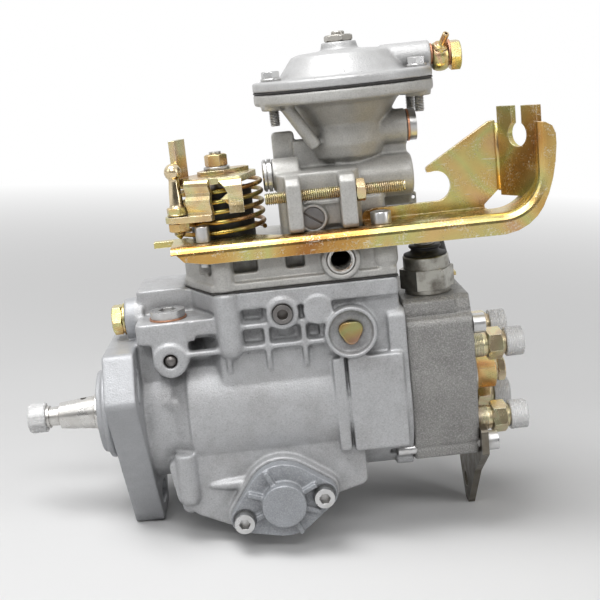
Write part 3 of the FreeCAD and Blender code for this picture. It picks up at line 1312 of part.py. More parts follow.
def throttle():
    shaft = join(rod("Z", 5, 68, 58.7, LEVER_X, LEVER_Y), rod("Z", 3, 126, 5.5, LEVER_X, LEVER_Y))
    crank = rod("Z", 6.3, 67, 3.5, LEVER_X, LEVER_Y)
    pin = rod("Z", 1.8, 62, 6, LEVER_X + 4, LEVER_Y + 2)
    node("control_shaft", join(shaft, crank, pin))
    top = LEVER_TOP
    plate = rounded("Z", top - SHEET_THICK, SHEET_THICK, 1.5, [
        (46, -24), (50.6, -31), (50.2, -34.2), (62, -39.8), (77, -39.8), (80, -30), (84, -14), (76, -1),
        (62, 0),
        (50, -16),
    ])
    outside = [(0, 0), (-1.8, 0.4), (-3, 1.8), (-3.2, 3.4), (-2.4, 5.2), (-1.7, 6.6), (-1.9, 8.2),
        (-2.8, 9.8),
               (-2.9, 11.4), (-2.2, 13.4), (-1.6, 15.6), (-1.6, 20)]
    inside = [(1, 20), (1, 15.6), (0.4, 13.2), (-0.3, 11.2), (-0.2, 10), (0.7, 8.2), (0.9, 6.6), (0.2, 5.1),
              (-0.6, 3.6), (0, 3)]
    strap = prism("X", 50.2, 12.85, [(-34.2 + y, top - depth) for y, depth in outside + inside])
    arm = spun(strap, -23.4, (0, 0, 1), 50.2, -34.2)
    end = join(
        rod("Z", 6.2, END_TOP - SHEET_THICK, SHEET_THICK, BALL_X, BALL_Y),
        prism("Z", END_TOP - SHEET_THICK, SHEET_THICK, [
            (43.5, -39.1), (50, -40.4), (60.9, -41.7), (62, -39.3), (50.2, -34.2), (46, -30),
        ]),
    )
    hook = [(-34, 0), (-38.5, 0), (-41.5, 1.4), (-43, 4), (-43, 7.5), (-42.2, 10.4), (-43, 13.5), (-43.6, 17),
            (-41.2, 17), (-40.5, 13.3), (-39.7, 10.4), (-40.5, 7.4), (-40.5, 4.6), (-39.6, 3.2),
            (-38, 2.6), (-34, 2.6)]
    tab = prism("X", 66, 11, [(y, top - depth) for y, depth in hook])
    upright = prism("Z", top - SHEET_THICK, 21.5, [(43.6, -27.4), (46.6, -27.8), (50.8, -18), (48, -17.2)])
    holes = [rod("Z", 5, top - 5, 8, LEVER_X, LEVER_Y), rod("Z", 3.05, END_TOP - 5, 8, BALL_X, BALL_Y)]
    node("throttle_lever", cut(join(plate, arm, end, tab, upright), *holes))
    stud = turned("Z", [
        (92.4, 0), (94.6, 3), (END_TOP, 3), (END_TOP, 4.8), (END_TOP + 4, 5.2), (END_TOP + 4.6, 4.2),
        (END_TOP + 12, 3), (BALL_Z - 3.4, 2.5), (BALL_Z - 3.4, 0),
    ], BALL_X, BALL_Y)
    stud = join(stud, ball(4.1, BALL_X, BALL_Y, BALL_Z), hexagon("Z", 9, END_TOP, 4, BALL_X, BALL_Y))
    nut = hexagon("Z", 10, END_TOP - SHEET_THICK - 4.4, 4.4, BALL_X, BALL_Y)
    node("ball_stud", group(stud, cut(nut, rod("Z", 3.05, 90, 20, BALL_X, BALL_Y))))
    disc = cut(rod("Z", 10, top, 1.6, LEVER_X, LEVER_Y), rod("Z", 5, top - 1, 4, LEVER_X, LEVER_Y))
    nut_low = top + 1.6
    nut = cut(
        join(rod("Z", 6, nut_low, 1.4, LEVER_X, LEVER_Y), hexagon("Z", 10, nut_low + 1.4, 6, LEVER_X,
        LEVER_Y)),
        rod("Z", 5, nut_low - 1, 5.4, LEVER_X, LEVER_Y), rod("Z", 3, nut_low, 10, LEVER_X, LEVER_Y),
    )
    node("lever_nut", group(disc, nut))
    low = DECK + 0.3
    node("spring_spool", turned("Z", [
        (low, 8.3), (low, SPOOL_R + 1), (BRACKET_TOP - 4, SPOOL_R + 1), (BRACKET_TOP - 4, SPOOL_R),
        (BOSS_TOP, SPOOL_R), (BOSS_TOP, 8.3),
    ], LEVER_X, LEVER_Y))
    node("return_spring", coil("return_spring", LEVER_X, LEVER_Y, BRACKET_TOP + 0.6,
        top - SHEET_THICK - 0.4, 20.8, 1.15, 5.7, 18))


# %% Clip behind the solenoid

def clip():
    outer = HEAD_HALF + 1
    strip = prism("X", HEAD_END, 2, [(28.5, 40.5), (outer, 40.5), (outer, 30), (28.5, 30)])
    lift = block((HEAD_END - 6, HEAD_END + 2), (14, 30), (HEAD_TOP + 0.3, HEAD_TOP + 2.3))
    joinup = block((HEAD_END, HEAD_END + 2), (24, 34), (38, HEAD_TOP + 2.3))
    hole = rod("X", M6 + 0.3, HEAD_END - 1, 4, SCREW_SIDE, 35)
    node("clip_bracket", cut(join(strip, joinup, lift), hole))
    node("clip_sleeve", strut(2.6, (181, 19, HEAD_TOP + 4.1), (176, 8, 72)))


# %% Build, test and write

def build():
    pump_housing()
    shaft_bush()
    shaft_seal()
    drive_shaft()
    thread_cap()
    drive_gear()
    feed_pump()
    roller_ring()
    timing_piston()
    cam_disc()
    distributor_plunger()
    governor()
    distributor_head()
    head_fittings()
    head_screws()
    rear_support_plate()
    solenoid()
    timing_cover("timing_cover_near", -1)
    timing_cover("timing_cover_far", 1)
    timing_spring()
    housing_plugs()
    cover_gasket()
    governor_cover()
    cover_fittings()
    boost_parts()
    banjo()
    cable_bracket()
    throttle()
    clip()
    DOC.recompute()


def test():
    """Stops the build if any object failed or any sub-part is not a sound solid."""
    for item in DOC.Objects:
        if {"Invalid", "Error"} & set(item.State):
            raise RuntimeError(f"{item.Label} is {item.State}")
    for item in NODES:
        if item.Shape.isNull() or not item.Shape.isValid() or not item.Shape.Solids:
            raise RuntimeError(f"{item.Label} has no sound shape")


def write():
    os.makedirs("parts", exist_ok=True)
    for item in NODES:
        item.Shape.exportStep(f"parts/{item.Label}.step")
        print(f"{item.Label}: {len(item.Shape.Solids)} solid(s), {item.Shape.Volume / 1000:.2f} cm3")


build()
test()
write()
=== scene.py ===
# %% [markdown]
# A rotary diesel injection pump in Blender
#
# The pump is a small machine of castings, turned steel, sheet metal and rubber. Its measured solids
# are loaded as a fixed frame, in metres. What follows gives each of them the surface that the real
# one has, and swaps the ones whose fine shape matters, such as threads, springs and cast skins, for
# pieces made here in mesh code. First come the tools and the frame itself.

# %% Load the pump
import json
import math
import bpy
import bmesh
import numpy as np
from mathutils import Matrix, Vector

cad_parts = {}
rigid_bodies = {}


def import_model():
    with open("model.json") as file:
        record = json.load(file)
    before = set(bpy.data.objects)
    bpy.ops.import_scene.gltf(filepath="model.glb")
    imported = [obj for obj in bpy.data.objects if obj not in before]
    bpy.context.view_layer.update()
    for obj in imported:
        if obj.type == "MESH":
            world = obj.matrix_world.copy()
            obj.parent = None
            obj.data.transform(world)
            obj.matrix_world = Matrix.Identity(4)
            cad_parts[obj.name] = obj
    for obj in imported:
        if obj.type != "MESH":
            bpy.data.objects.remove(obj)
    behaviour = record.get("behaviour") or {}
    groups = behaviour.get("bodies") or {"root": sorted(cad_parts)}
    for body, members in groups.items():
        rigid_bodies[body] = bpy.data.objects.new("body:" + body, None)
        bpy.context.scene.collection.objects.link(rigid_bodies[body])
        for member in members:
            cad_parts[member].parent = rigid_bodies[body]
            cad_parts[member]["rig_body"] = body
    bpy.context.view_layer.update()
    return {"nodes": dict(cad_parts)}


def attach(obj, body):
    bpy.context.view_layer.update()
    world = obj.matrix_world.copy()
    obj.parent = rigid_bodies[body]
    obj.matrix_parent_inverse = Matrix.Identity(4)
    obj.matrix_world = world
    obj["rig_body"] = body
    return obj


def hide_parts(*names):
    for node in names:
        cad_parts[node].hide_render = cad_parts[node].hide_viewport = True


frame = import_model()
mm = 0.001

# %% [markdown]
# The camera
#
# The photograph was taken a little from above with a long lens. Its position and turn were worked
# out from round parts of the pump whose real size is known, so the render can be laid over the
# photograph. A camera matrix is built from its three axes: right, up and backwards.

# %% Camera
eye = Vector((90.15, -537.61, 168.05)) * mm
right = Vector((0.994070, -0.039791, -0.101203))
up = Vector((0.107401, 0.213432, 0.971037))
backward = Vector((-0.017039, -0.976147, 0.216440))

film_width, focal_pixels, frame_pixels = 36, 1046, 600
camera_data = bpy.data.cameras.new("camera")
camera_data.sensor_width = film_width
camera_data.lens = focal_pixels * film_width / frame_pixels
camera_data.clip_start = 0.01
camera_data.clip_end = 20
camera = bpy.data.objects.new("camera", camera_data)
bpy.context.collection.objects.link(camera)
turn = Matrix((right, up, backward)).transposed()
camera.matrix_world = Matrix.Translation(eye) @ turn.to_4x4()
bpy.context.scene.camera = camera
print("camera", [round(c, 3) for c in eye], "lens", round(camera_data.lens, 1))

# %% [markdown]
# Shader tools
#
# Every finish on the pump is a small network of shader nodes. Two helpers keep those networks short
# to write. One places a node and wires its inputs, the other starts a node group with named sockets.

# %% Shader helpers
def place(tree, kind, wires=None, **settings):
    """Adds one shader node. Wires maps an input's name to a value or to another node's output."""
    node = tree.nodes.new("ShaderNode" + kind)
    for key, value in settings.items():
        setattr(node, key, value)
    for key, value in (wires or {}).items():
        if isinstance(value, bpy.types.NodeSocket):
            tree.links.new(value, node.inputs[key])
        else:
            node.inputs[key].default_value = value
    return node


def start_group(name, inputs, outputs):
    """A node group with named sockets: inputs are (name, kind, value), outputs are (name, kind)."""
    tree = bpy.data.node_groups.new(name, "ShaderNodeTree")
    for label, kind, value in inputs:
        socket = tree.interface.new_socket(name=label, in_out="INPUT", socket_type="NodeSocket" + kind)
        socket.default_value = value
    for label, kind in outputs:
        tree.interface.new_socket(name=label, in_out="OUTPUT", socket_type="NodeSocket" + kind)
    return tree, tree.nodes.new("NodeGroupInput").outputs, tree.nodes.new("NodeGroupOutput").inputs


# %% [markdown]
# Colours and numbers in nodes
#
# Four more helpers stand for the nodes that every finish needs: a colour ramp, a mix of two colours, a
# sum or product, and a range that is spread over another.

# %% Colour and number helpers
def ramp(tree, factor, stops):
    """Colour ramp with (position, colour) stops."""
    node = place(tree, "ValToRGB", {"Fac": factor})
    band = node.color_ramp
    while len(band.elements) < len(stops):
        band.elements.new(0.5)
    for element, (position, colour) in zip(band.elements, stops):
        element.position = position
        element.color = (*colour, 1)
    return node.outputs["Color"]


def blend_colour(tree, factor, first, second, mode="MIX"):
    """Mixes two colours; either may be a tuple or an output."""
    node = place(tree, "Mix", data_type="RGBA", blend_type=mode)
    for socket, value in ((node.inputs[0], factor), (node.inputs[6], first), (node.inputs[7], second)):
        if isinstance(value, bpy.types.NodeSocket):
            tree.links.new(value, socket)
        else:
            socket.default_value = (*value, 1) if isinstance(value, tuple) else value
    return node.outputs[2]


def arithmetic(tree, operation, first, second=0.0, clamp=False):
    """One Math node."""
    return place(tree, "Math", {0: first, 1: second}, operation=operation, use_clamp=clamp).outputs[0]


def spread(tree, value, low, high, to_low=0.0, to_high=1.0):
    """Map Range from (low, high) to a new range, clamped."""
    wires = {"Value": value, "From Min": low, "From Max": high, "To Min": to_low, "To Max": to_high}
    return place(tree, "MapRange", wires).outputs["Result"]


# %% [markdown]
# Cast grain
#
# Sand and die castings have a fine, slightly uneven skin. Three scales make it: a grain of about half
# a millimetre, soft mottling over a few millimetres, and rare small pits. The group works in the
# object's own metres, so the grain keeps its size on every casting.

# %% Group: cast grain
tree, given, out = start_group(
    "cast grain",
    [("Grain Size", "Float", 0.0006), ("Pits", "Float", 1.0)],
    [("Height", "Float"), ("Mottle", "Float"), ("Stain", "Float"), ("Speckle", "Float")],
)
where = place(tree, "TexCoord").outputs["Object"]
fineness = arithmetic(tree, "DIVIDE", 1.0, given["Grain Size"])
fine = place(tree, "TexNoise", {"Vector": where, "Scale": fineness, "Detail": 2.0, "Roughness": 0.5})
cloud = place(tree, "TexNoise", {"Vector": where, "Scale": 170.0, "Detail": 4.0, "Roughness": 0.6})
broad = place(tree, "TexNoise", {"Vector": where, "Scale": 38.0, "Detail": 3.0, "Roughness": 0.55})
pit = place(tree, "TexVoronoi", {"Vector": where, "Scale": 260.0, "Randomness": 1.0})
hole = spread(tree, pit.outputs["Distance"], 0.02, 0.11)
gate = spread(tree, cloud.outputs["Fac"], 0.55, 0.62, 1.0, 0.0)
hole = arithmetic(tree, "MAXIMUM", hole, gate)
sunk = arithmetic(tree, "MULTIPLY", arithmetic(tree, "SUBTRACT", hole, 1.0), given["Pits"])
tree.links.new(arithmetic(tree, "ADD", fine.outputs["Fac"], sunk), out["Height"])
tree.links.new(cloud.outputs["Fac"], out["Mottle"])
tree.links.new(fine.outputs["Fac"], out["Speckle"])
tree.links.new(broad.outputs["Fac"], out["Stain"])
cast_grain = tree
print(tree.name, "has", len(tree.nodes), "nodes")

# %% [markdown]
# Soft edges and rubbed corners
#
# No real edge is perfectly sharp. The Bevel node bends the normal near an edge, which gives it a thin
# highlight, and the angle between the bent and the true normal tells where the edge is. That mask is
# broken up with noise and used to show bright metal where handling has rubbed a corner.

# %% Group: worn edges
tree, given, out = start_group(
    "worn edges",
    [("Radius", "Float", 0.0004), ("Amount", "Float", 0.6)],
    [("Normal", "Vector"), ("Worn", "Float")],
)
bevel = place(tree, "Bevel", {"Radius": given["Radius"]}, samples=6)
facing = place(tree, "NewGeometry").outputs["Normal"]
match = place(tree, "VectorMath", {0: bevel.outputs[0], 1: facing}, operation="DOT_PRODUCT")
edge = spread(tree, match.outputs["Value"], 0.999, 0.93)
speck = place(tree, "TexNoise", {
    "Vector": place(tree, "TexCoord").outputs["Object"], "Scale": 420.0, "Detail": 4.0, "Roughness": 0.7,
})
patch = spread(tree, speck.outputs["Fac"], 0.35, 0.62)
tree.links.new(bevel.outputs[0], out["Normal"])
worn = arithmetic(tree, "MULTIPLY", arithmetic(tree, "MULTIPLY", edge, patch), given["Amount"])
tree.links.new(worn, out["Worn"])
worn_edges = tree
print(tree.name, "has", len(tree.nodes), "nodes")

# %% [markdown]
# Grime and painted corner shade
#
# Dust and oil stay in corners and pockets, and the same darkening paints the shade that falls there.
# Ambient Occlusion measures how closed-in a point is; with a short distance it finds the seams and
# the feet of ribs. Noise keeps the darkening from being even.

# %% Group: grime and painted corner shade
tree, given, out = start_group(
    "grime and painted corner shade",
    [("Reach", "Float", 0.004), ("Amount", "Float", 0.5)],
    [("Mask", "Float")],
)
closed = place(tree, "AmbientOcclusion", {"Distance": given["Reach"]}, samples=6)
# darker where closed in: painted shade in corners and seams, together with grime
shade = spread(tree, closed.outputs["AO"], 0.95, 0.35)
speck = place(tree, "TexNoise", {
    "Vector": place(tree, "TexCoord").outputs["Object"], "Scale": 240.0, "Detail": 5.0, "Roughness": 0.65,
})
patch = spread(tree, speck.outputs["Fac"], 0.3, 0.6, 0.35, 1.0)
shade = arithmetic(tree, "MULTIPLY", arithmetic(tree, "MULTIPLY", shade, patch), given["Amount"])
tree.links.new(shade, out["Mask"])
grime_and_corner_shade = tree
print(tree.name, "has", len(tree.nodes), "nodes")

# %% [markdown]
# Yellow chromate
#
# The bracket, the lever and several nuts are zinc plated and passivated, which leaves a thin film of
# gold with drifts of green and rust red. The film is uneven and is rubbed through to pale zinc in
# streaks. Colour comes from two noises, one broad for the drifts and one fine for the rubbing.

# %% Group: yellow chromate
tree, given, out = start_group(
    "yellow chromate",
    [("Drift Size", "Float", 0.02), ("Rubbed", "Float", 0.3), ("Worn", "Float", 0.0), ("Pale", "Float", 0.0)],
    [("Color", "Color"), ("Roughness", "Float"), ("Height", "Float")],
)
where = place(tree, "TexCoord").outputs["Object"]
scale = arithmetic(tree, "DIVIDE", 1.0, given["Drift Size"])
drift = place(tree, "TexNoise", {
    "Vector": where, "Scale": scale, "Detail": 1.5, "Roughness": 0.4, "Distortion": 0.8,
})
film = ramp(tree, drift.outputs["Fac"], [
    (0.26, (0.36, 0.15, 0.045)), (0.37, (0.56, 0.32, 0.09)), (0.46, (0.66, 0.47, 0.17)),
    (0.54, (0.56, 0.53, 0.20)), (0.61, (0.66, 0.47, 0.19)), (0.69, (0.62, 0.36, 0.22)),
    (0.80, (0.60, 0.44, 0.17)),
])
film = blend_colour(tree, given["Pale"], film, (0.80, 0.76, 0.58))
flake = place(tree, "TexNoise", {"Vector": where, "Scale": 1300.0, "Detail": 3.0, "Roughness": 0.6})
region = place(tree, "TexNoise", {"Vector": where, "Scale": 130.0, "Detail": 3.0, "Roughness": 0.6})
flakes = spread(tree, flake.outputs["Fac"], 0.55, 0.63)
bare = arithmetic(tree, "MULTIPLY", flakes, spread(tree, region.outputs["Fac"], 0.50, 0.64))
stretch = place(tree, "Mapping", {"Vector": where, "Rotation": (0.3, 0.9, 0.5), "Scale": (0.12, 1.0, 1.0)})
hair = place(tree, "TexNoise", {"Vector": stretch.outputs[0], "Scale": 1100.0, "Detail": 2.0})
scratches = spread(tree, hair.outputs["Fac"], 0.67, 0.72)
scratches = arithmetic(tree, "MULTIPLY", scratches, spread(tree, region.outputs["Fac"], 0.40, 0.50))
bare = arithmetic(tree, "MULTIPLY", arithmetic(tree, "MAXIMUM", bare, scratches), given["Rubbed"])
bare = arithmetic(tree, "MAXIMUM", bare, given["Worn"], clamp=True)
tree.links.new(blend_colour(tree, bare, film, (0.86, 0.83, 0.72)), out["Color"])
rough = spread(tree, region.outputs["Fac"], 0.3, 0.7, 0.20, 0.30)
tree.links.new(arithmetic(tree, "ADD", rough, arithmetic(tree, "MULTIPLY", bare, 0.2)), out["Roughness"])
tree.links.new(region.outputs["Fac"], out["Height"])
yellow_chromate = tree
print(tree.name, "has", len(tree.nodes), "nodes")

# %% [markdown]
# Turned lines
#
# Turned and ground steel keeps the fine lines of the tool. A noise squeezed hard along one axis gives
# lines round that axis; the same noise varies the roughness.

# %% Group: turned lines
tree, given, out = start_group(
    "turned lines",
    [("Squeeze", "Vector", (1.0, 0.03, 0.03)), ("Fineness", "Float", 5000.0)],
    [("Height", "Float"), ("Smudge", "Float")],
)
where = place(tree, "TexCoord").outputs["Object"]
squeezed = place(tree, "VectorMath", {0: where, 1: given["Squeeze"]}, operation="MULTIPLY")
lines = place(tree, "TexNoise", {"Vector": squeezed.outputs[0], "Scale": given["Fineness"], "Detail": 2.0})
smudge = place(tree, "TexNoise", {"Vector": where, "Scale": 130.0, "Detail": 4.0, "Roughness": 0.6})
tree.links.new(lines.outputs["Fac"], out["Height"])
tree.links.new(smudge.outputs["Fac"], out["Smudge"])
turned_lines = tree
print("node groups:", [g.name for g in bpy.data.node_groups])

# %% [markdown]
# Starting a material
#
# Each material starts the same way: a Principled surface whose plain values sit on its own sockets.
# The fine relief goes through a Bump node that sits on top of the soft edge normal, and the colour
# and roughness networks are wired in by the material that wants them.

# %% Material helpers
def start_material(name, **plain):
    """A Principled surface with plain values on its sockets; _ in a key stands for a space."""
    material = bpy.data.materials.new(name)
    material.use_nodes = True
    tree = material.node_tree
    tree.nodes.clear()
    surface = place(tree, "BsdfPrincipled")
    place(tree, "OutputMaterial", {"Surface": surface.outputs[0]})
    for key, value in plain.items():
        surface.inputs[key.replace("_", " ")].default_value = value
    return material, tree, surface


def use_group(tree, group, **wires):
    """Places a node group in a material, with its inputs as values or links."""
    node = tree.nodes.new("ShaderNodeGroup")
    node.node_tree = group
    for key, value in wires.items():
        socket = node.inputs[key.replace("_", " ")]
        if isinstance(value, bpy.types.NodeSocket):
            tree.links.new(value, socket)
        else:
            socket.default_value = value
    return node.outputs


def relief(tree, surface, height, distance, strength, normal=None):
    """Bump of the given depth in metres, on top of the soft edge normal."""
    wires = {"Height": height, "Distance": distance, "Strength": strength}
    if normal is not None:
        wires["Normal"] = normal
    tree.links.new(place(tree, "Bump", wires).outputs[0], surface.inputs["Normal"])


# %% [markdown]
# Cast metals
#
# The housing, the cover and the lid are cast aluminium, blasted to a dull silver. The head is iron
# with a darker, browner skin. One function makes all of them from a base colour: grain for relief,
# mottling and stains for colour, painted glints and painted shade in small speckles and in the pits,
# grime with painted shade in the corners, and bright metal on the rubbed edges.

# %% Cast metal
grime_and_shade_colour = (0.030, 0.028, 0.025)


def cast_metal(
    name, base, stain_and_shade_colour, bright, rough=0.44, grain=0.0007, bump=0.00018, grime_and_shade=0.6, worn=0.4, sparkle=0.25
):
    """A casting: its base colour, the colour of its stains and painted shade, and of its painted glints and
    rubbed edges.
    """
    material, tree, surface = start_material(name, Metallic=0.35, Specular_IOR_Level=0.6)
    skin = use_group(tree, cast_grain, Grain_Size=grain)
    edges = use_group(tree, worn_edges, Radius=0.0006, Amount=worn)
    grime_shade_mask = use_group(tree, grime_and_corner_shade, Reach=0.007, Amount=grime_and_shade)
    patchy = spread(tree, skin["Mottle"], 0.35, 0.68, 0.0, 0.5)
    colour = blend_colour(tree, patchy, base, tuple(c * 0.82 for c in base))
    stained = spread(tree, skin["Stain"], 0.50, 0.72, 0.0, 0.55)
    colour = blend_colour(tree, stained, colour, stain_and_shade_colour)
    # painted glints: bright speckles in the colour; the dark speckles below are painted shade
    painted_glint = spread(tree, skin["Speckle"], 0.50, 0.74, 0.0, sparkle)
    colour = blend_colour(tree, painted_glint, colour, bright)
    shade = spread(tree, skin["Speckle"], 0.46, 0.26, 0.0, sparkle)
    colour = blend_colour(tree, shade, colour, tuple(c * 0.45 for c in stain_and_shade_colour))
    # painted shade in the pits of the grain
    pit_shade = spread(tree, skin["Height"], -0.6, 0.3, 0.75, 0.0)
    colour = blend_colour(tree, pit_shade, colour, tuple(c * 0.16 for c in stain_and_shade_colour))
    colour = blend_colour(tree, edges["Worn"], colour, bright)
    # grime with painted shade in the corners, from the occlusion mask
    colour = blend_colour(tree, grime_shade_mask["Mask"], colour, grime_and_shade_colour)
    tree.links.new(colour, surface.inputs["Base Color"])
    shine = spread(tree, skin["Mottle"], 0.3, 0.7, rough - 0.06, rough + 0.1)
    shine = arithmetic(tree, "ADD", shine, arithmetic(tree, "MULTIPLY", grime_shade_mask["Mask"], 0.25))
    shine = arithmetic(tree, "SUBTRACT", shine, arithmetic(tree, "MULTIPLY", edges["Worn"], 0.16))
    tree.links.new(shine, surface.inputs["Roughness"])
    relief(tree, surface, skin["Height"], bump, 0.9, edges["Normal"])
    return material, tree, surface

# %% [markdown]
# The five castings
#
# The housing is the palest grey, the governor cover is a little warmer, the lid is brighter and
# smoother, and the timing cover is cooler and darker. The cover's warmer tint is partly a painted
# yellow reflection, and the lid's lighter grey is partly painted light on a top that faces the lamps.
# The housing's flange is machined in front, so its colour changes at the flange's rear face, found by
# the X coordinate.

# %% Castings
flange_back = 0.0155
housing_casting, tree, surface = cast_metal(
    "housing casting", (0.50, 0.505, 0.515), (0.31, 0.30, 0.30), (0.74, 0.74, 0.75)
)
along = place(tree, "SeparateXYZ", {0: place(tree, "TexCoord").outputs["Object"]}).outputs["X"]
machined = spread(tree, along, flange_back - 0.0003, flange_back + 0.0003, 0.6, 0.0)
worked = surface.inputs["Base Color"].links[0].from_socket
tree.links.new(blend_colour(tree, machined, worked, (0.40, 0.41, 0.43)), surface.inputs["Base Color"])
# warmer tint partly a painted yellow reflection
cover_casting_painted_warm = cast_metal(
    "cover casting", (0.52, 0.513, 0.492), (0.39, 0.372, 0.335), (0.74, 0.73, 0.69)
)[0]
# lighter grey partly painted light on a top that faces the lamps
lid_casting_painted_lighter = cast_metal(
    "lid casting painted lighter", (0.56, 0.56, 0.56), (0.44, 0.435, 0.43), (0.80, 0.80, 0.80), 0.40,
    grime_and_shade=0.5, sparkle=0.12,
)[0]
timing_casting = cast_metal(
    "timing cover casting", (0.36, 0.375, 0.40), (0.30, 0.31, 0.32), (0.78, 0.78, 0.80), 0.42
)[0]
head_iron = cast_metal(
    "head iron", (0.31, 0.305, 0.295), (0.17, 0.165, 0.16), (0.72, 0.71, 0.69), 0.40,
    bump=0.0005, grime_and_shade=0.35, sparkle=0.34,
)[0]
print("castings:", [m.name for m in bpy.data.materials if "cast" in m.name or "iron" in m.name])

# %% [markdown]
# Plated and machined steel
#
# Screws and the shaft are bright zinc or bare ground steel: smooth, with faint tool lines, smudges
# and a little rust-brown oil with painted shade in the corners. Copper, bronze and brass differ only in
# their colours.

# %% Plain metal
def plain_steel(
    name, base, dull, rough=0.26, squeeze=(1.0, 1.0, 1.0), bump=0.000012, edge=0.00025, spots=0.35
):
    """A turned or plated metal: its base colour, and the duller colour of its smudges."""
    material, tree, surface = start_material(name, Metallic=1.0)
    lines = use_group(tree, turned_lines, Squeeze=squeeze)
    edges = use_group(tree, worn_edges, Radius=edge, Amount=0.45)
    grime_shade_mask = use_group(tree, grime_and_corner_shade, Reach=0.003, Amount=0.6)
    smudged = spread(tree, lines["Smudge"], 0.45, 0.7, 0.0, spots)
    colour = blend_colour(tree, smudged, base, dull)
    colour = blend_colour(tree, edges["Worn"], colour, (0.85, 0.84, 0.81))
    # rust-brown oil with painted shade in the corners
    colour = blend_colour(tree, grime_shade_mask["Mask"], colour, (0.07, 0.052, 0.034))
    tree.links.new(colour, surface.inputs["Base Color"])
    shine = spread(tree, lines["Smudge"], 0.35, 0.7, rough - 0.05, rough + 0.16)
    shine = arithmetic(tree, "ADD", shine, arithmetic(tree, "MULTIPLY", grime_shade_mask["Mask"], 0.3))
    tree.links.new(shine, surface.inputs["Roughness"])
    relief(tree, surface, lines["Height"], bump, 0.8, edges["Normal"])
    return material

round_x = (1.0, 0.03, 0.03)
ground_steel = plain_steel("ground steel", (0.62, 0.61, 0.59), (0.36, 0.32, 0.27), squeeze=round_x)
bright_zinc = plain_steel("bright zinc", (0.60, 0.60, 0.60), (0.42, 0.41, 0.38), 0.3)
nut_steel = plain_steel("nut steel", (0.56, 0.54, 0.50), (0.34, 0.31, 0.27), 0.3)
# the support plate's dark colour paints the shade it sits in
shaded_plate_steel = plain_steel(
    "support plate steel with painted shade", (0.19, 0.172, 0.142), (0.10, 0.08, 0.056), 0.34, spots=0.5
)
stained_steel = plain_steel(
    "stained solenoid steel", (0.42, 0.41, 0.37), (0.10, 0.085, 0.07), 0.32, spots=0.75
)
dark_ball = plain_steel("dark plug ball", (0.20, 0.19, 0.185), (0.10, 0.095, 0.09), 0.34, spots=0.4)
bare_copper = plain_steel("copper", (0.72, 0.36, 0.22), (0.34, 0.16, 0.10), 0.34)
bearing_bronze = plain_steel("bronze", (0.62, 0.45, 0.24), (0.35, 0.24, 0.13), 0.32, squeeze=round_x)
terminal_brass = plain_steel("brass", (0.72, 0.55, 0.26), (0.45, 0.33, 0.15), 0.3)
ball_gold = plain_steel(
    "polished ball", (0.74, 0.62, 0.42), (0.56, 0.40, 0.20), 0.17, bump=0.000004, spots=0.5
)
print("materials so far:", len(bpy.data.materials))

# %% [markdown]
# Gold zinc
#
# The bracket, the lever and the gold nuts share the chromate film. It drifts slowly over the big
# bracket and fast over a small nut. A tint browns the spring and dulls the shaft's cap, and a paler
# film suits the valve holders, which were plated thinly.

# %% Gold zinc
def gold_zinc(name, drift=0.02, rubbed=0.5, rough=0.0, tint=(1.0, 1.0, 1.0), pale=0.0):
    """Yellow zinc; drift is the size of the film's colour drifts in metres."""
    material, tree, surface = start_material(name, Metallic=0.95)
    edges = use_group(tree, worn_edges, Radius=0.0004, Amount=0.75)
    film = use_group(tree, yellow_chromate, Drift_Size=drift, Rubbed=rubbed, Worn=edges["Worn"], Pale=pale)
    grime_shade_mask = use_group(tree, grime_and_corner_shade, Reach=0.003, Amount=0.5)
    colour = blend_colour(tree, 1.0, film["Color"], tint, "MULTIPLY")
    # grime with painted shade in the corners
    colour = blend_colour(tree, grime_shade_mask["Mask"], colour, (0.10, 0.05, 0.018))
    tree.links.new(colour, surface.inputs["Base Color"])
    shine = arithmetic(tree, "ADD", film["Roughness"], arithmetic(tree, "MULTIPLY", grime_shade_mask["Mask"], 0.2))
    tree.links.new(arithmetic(tree, "ADD", shine, rough), surface.inputs["Roughness"])
    relief(tree, surface, film["Height"], 0.00002, 0.35, edges["Normal"])
    return material


bracket_gold = gold_zinc("bracket gold", drift=0.045, rubbed=0.8)
lever_gold = gold_zinc("lever gold", drift=0.022, rubbed=0.4, pale=0.32)
screw_gold = gold_zinc("screw gold", drift=0.012, rubbed=0.25, pale=0.12)
valve_gold = gold_zinc("valve gold", drift=0.010, rubbed=0.3, pale=0.55)
plug_gold = gold_zinc("plug gold", drift=0.016, rubbed=0.2, tint=(1.0, 0.9, 0.88), pale=0.15)
cap_gold = gold_zinc("cap gold", drift=0.02, rubbed=0.2, rough=0.16, tint=(0.60, 0.62, 0.68))
spring_gold = gold_zinc("spring gold", drift=0.02, rubbed=0.25, rough=0.03, tint=(0.66, 0.62, 0.50))
print("golds:", [m.name for m in bpy.data.materials if m.name.endswith("gold")])

# %% [markdown]
# Rubber, plastic and gasket
#
# The solenoid's boot is matt black rubber. The outlet caps and the shaft's thread cap are milky
# plastic that lets some light through. The gasket and the diaphragm show as thin dark edges.

# %% Soft and plastic materials
def dull_polymer(name, base, rough):
    """Rubber, plastic or paper with a film of dust."""
    material, tree, surface = start_material(name)
    dust = (0.16, 0.15, 0.14)
    skin = use_group(tree, cast_grain, Grain_Size=0.0005, Pits=0.15)
    edges = use_group(tree, worn_edges, Radius=0.0003, Amount=0.35)
    pale = spread(tree, skin["Mottle"], 0.5, 0.7, 0.0, 0.35)
    colour = blend_colour(tree, pale, base, dust)
    colour = blend_colour(tree, edges["Worn"], colour, dust)
    tree.links.new(colour, surface.inputs["Base Color"])
    shine = spread(tree, skin["Mottle"], 0.3, 0.7, rough - 0.08, rough + 0.1)
    tree.links.new(shine, surface.inputs["Roughness"])
    relief(tree, surface, skin["Height"], 0.00004, 0.6, edges["Normal"])
    return material


